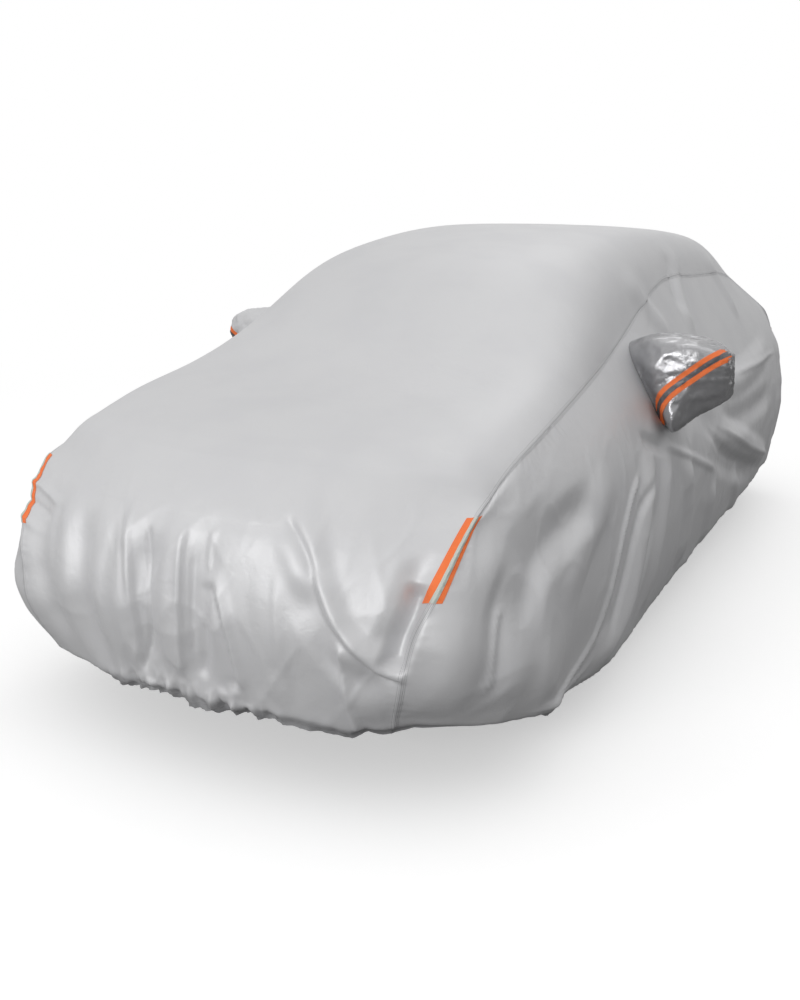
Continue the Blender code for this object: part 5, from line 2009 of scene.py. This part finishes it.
@dataclass(frozen=True)
class Studio:
    """The pale floor, the soft light and the camera.

    Attributes:
        ground: the height of the floor.
        camera_place: where the camera is.
        turn: how far round to the left the camera is, in degrees.
        dip: how far it looks down, in degrees.
        roll: how far it is turned about its view, in degrees.
        lens: its focal length in millimetres.
        floor_glow: how far the pale floor is lit from below.
        floor_radius: how far the floor runs.
        sky: the sky's strength.
        left_dim: how much dimmer it is low on the left.
        lamps: the soft lights.
    """

    ground: float = -1.4925
    camera_place: tuple[float, float, float] = (1.76, -4.76, 0.0375)
    turn: float = 27.5
    dip: float = 14.8
    roll: float = 0.89
    lens: float = 38.99
    floor_glow: float = 0.44
    floor_radius: float = 60.0
    sky: float = 0.72
    left_dim: float = 0.46
    lamps: tuple[Lamp, ...] = (
        Lamp("overhead", (2.4, -0.6, 4.6), (0.0, -0.4, -0.5), (5.0, 7.0), 50.0),
        Lamp("front", (-0.6, -9.0, 0.6), (0.0, -2.4, -0.9), (3.2, 2.4), 190.0),
        Lamp("rear", (-1.5, 5.4, 5.6), (0.0, 1.5, -0.8), (3.0, 2.5), 35.0),
    )

    def build(self) -> None:
        """Set up the floor, the lights, the sky and the camera."""
        self._floor()
        self._sky()
        bpy.context.scene.view_settings.view_transform = "Standard"
        for lamp in self.lamps:
            lamp.build()
        self._camera()

    def _floor(self) -> None:
        """Lay a wide pale floor that runs out into white."""
        mesh = bmesh.new()
        bmesh.ops.create_circle(mesh, cap_ends=True, segments=96, radius=self.floor_radius)
        for vertex in mesh.verts:
            vertex.co.z = self.ground
        data = bpy.data.meshes.new("floor")
        mesh.to_mesh(data)
        mesh.free()
        floor = bpy.data.objects.new("floor", data)
        bpy.context.scene.collection.objects.link(floor)
        made = bpy.data.materials.new("pale_floor")
        shader = Shader(made)
        place = shader.node("ShaderNodeVectorMath", {"operation": "LENGTH"}, {0: shader.place()})
        far = Value(shader, place.outputs["Value"]).between(3.2, 7.5)
        grain = shader.noise(shader.place(), 3.0)
        colour = shader.mix(grain * 0.1, (0.70, 0.70, 0.70, 1), (0.66, 0.66, 0.66, 1))
        matt = shader.node("ShaderNodeBsdfPrincipled", None,
                           {"Base Color": colour, "Roughness": 0.85,
                            "Emission Color": WHITE, "Emission Strength": self.floor_glow})
        white = shader.node("ShaderNodeEmission", None, {"Color": WHITE, "Strength": 1.0})
        both = shader.either(far, matt, white)
        dim = shader.node("ShaderNodeBsdfDiffuse", None, {"Color": (0.20, 0.20, 0.20, 1)})
        seen = shader.node("ShaderNodeLightPath").outputs["Is Camera Ray"]
        whole = shader.either(seen, dim, both)
        shader.node("ShaderNodeOutputMaterial", None, {"Surface": whole.outputs[0]})
        data.materials.append(made)

    def _sky(self) -> None:
        """Light the scene from a white sky that is dimmer on the left."""
        world = bpy.data.worlds.new("studio")
        bpy.context.scene.world = world
        shader = Shader(world)
        seen = shader.node("ShaderNodeLightPath").outputs["Is Camera Ray"]
        way = shader.node("ShaderNodeTexCoord").outputs["Generated"]
        parts = shader.node("ShaderNodeSeparateXYZ", None, {"Vector": way})
        side, up = (Value(shader, parts.outputs[name]) for name in "XZ")
        low = 1.0 - up.between(0.05, 0.50)
        strength = self.sky - side.between(0.05, 0.80) * low * self.left_dim
        lit, plain = (shader.node("ShaderNodeBackground", None, {"Color": WHITE, "Strength": power})
                      for power in (strength, 1.0))
        both = shader.either(seen, lit, plain)
        shader.node("ShaderNodeOutputWorld", None, {"Surface": both.outputs[0]})

    def _camera(self) -> None:
        """Place the camera where the photo was taken from."""
        turn, dip, roll = (math.radians(value) for value in (self.turn, self.dip, self.roll))
        back = Vector((math.sin(turn) * math.cos(dip), -math.cos(turn) * math.cos(dip),
                       math.sin(dip)))
        right = (-back).cross(Vector((0, 0, 1))).normalized()
        up = right.cross(-back)
        across = math.cos(roll) * right + math.sin(roll) * up
        over = -math.sin(roll) * right + math.cos(roll) * up
        data = bpy.data.cameras.new("camera")
        data.lens = self.lens
        data.sensor_width = 36.0
        camera = bpy.data.objects.new("camera", data)
        bpy.context.scene.collection.objects.link(camera)
        frame_matrix = Matrix((across, over, back)).transposed().to_4x4()
        frame_matrix.translation = Vector(self.camera_place)
        camera.matrix_world = frame_matrix
        bpy.context.scene.camera = camera


def main() -> None:
    """Build the cover's looks and the studio."""
    logging.basicConfig(level=logging.INFO, format="%(message)s")
    finishes = Finishes(
        cloth=ClothFinish("silver_cloth_finish", (0.68, 0.68, 0.69), (0.64, 0.64, 0.655), 0.30,
                          0.53).material(),
        # The left pocket's darker copy of the silver cloth, as painted shade.
        pocket=ClothFinish("silver_pocket_finish", (0.48, 0.48, 0.49), (0.36, 0.36, 0.38), 0.80,
                           0.27, crinkle=0.0042, crinkle_scale=24.0).material(),
        tape=TapeFinish("orange_tape_finish", (1.0, 0.21, 0.05)).material(),
        strip=StripFinish("silver_strip_finish", (0.66, 0.72, 0.66), 0.3, 0.42).material(),
        # A dark grey copy of the silver strip for the pockets, as painted shade.
        pocket_strip=StripFinish("grey_strip_finish", (0.16, 0.16, 0.17), 0.4, 0.35).material(),
    )
    form = ClothForm()
    LOG.info("cloth worked out: top %s, side %s", form.top.points.shape,
             form.sides[Side.LEFT].points.shape)
    for name, piece in CoverPanels(form).build(finishes).items():
        LOG.info("%s panel: %d faces", name, len(piece.data.polygons))
    for side in Side:
        for name, piece in MirrorPocket(form, side).build(finishes).items():
            LOG.info("%s %s: %d faces", side.word, name, len(piece.data.polygons))
        for end in End:
            for name, piece in CornerTape(form, side, end).build(finishes).items():
                LOG.info("%s %s %s: %d faces", end.word, side.word, name,
                         len(piece.data.polygons))
    Studio().build()


if __name__ == "__main__":
    main()
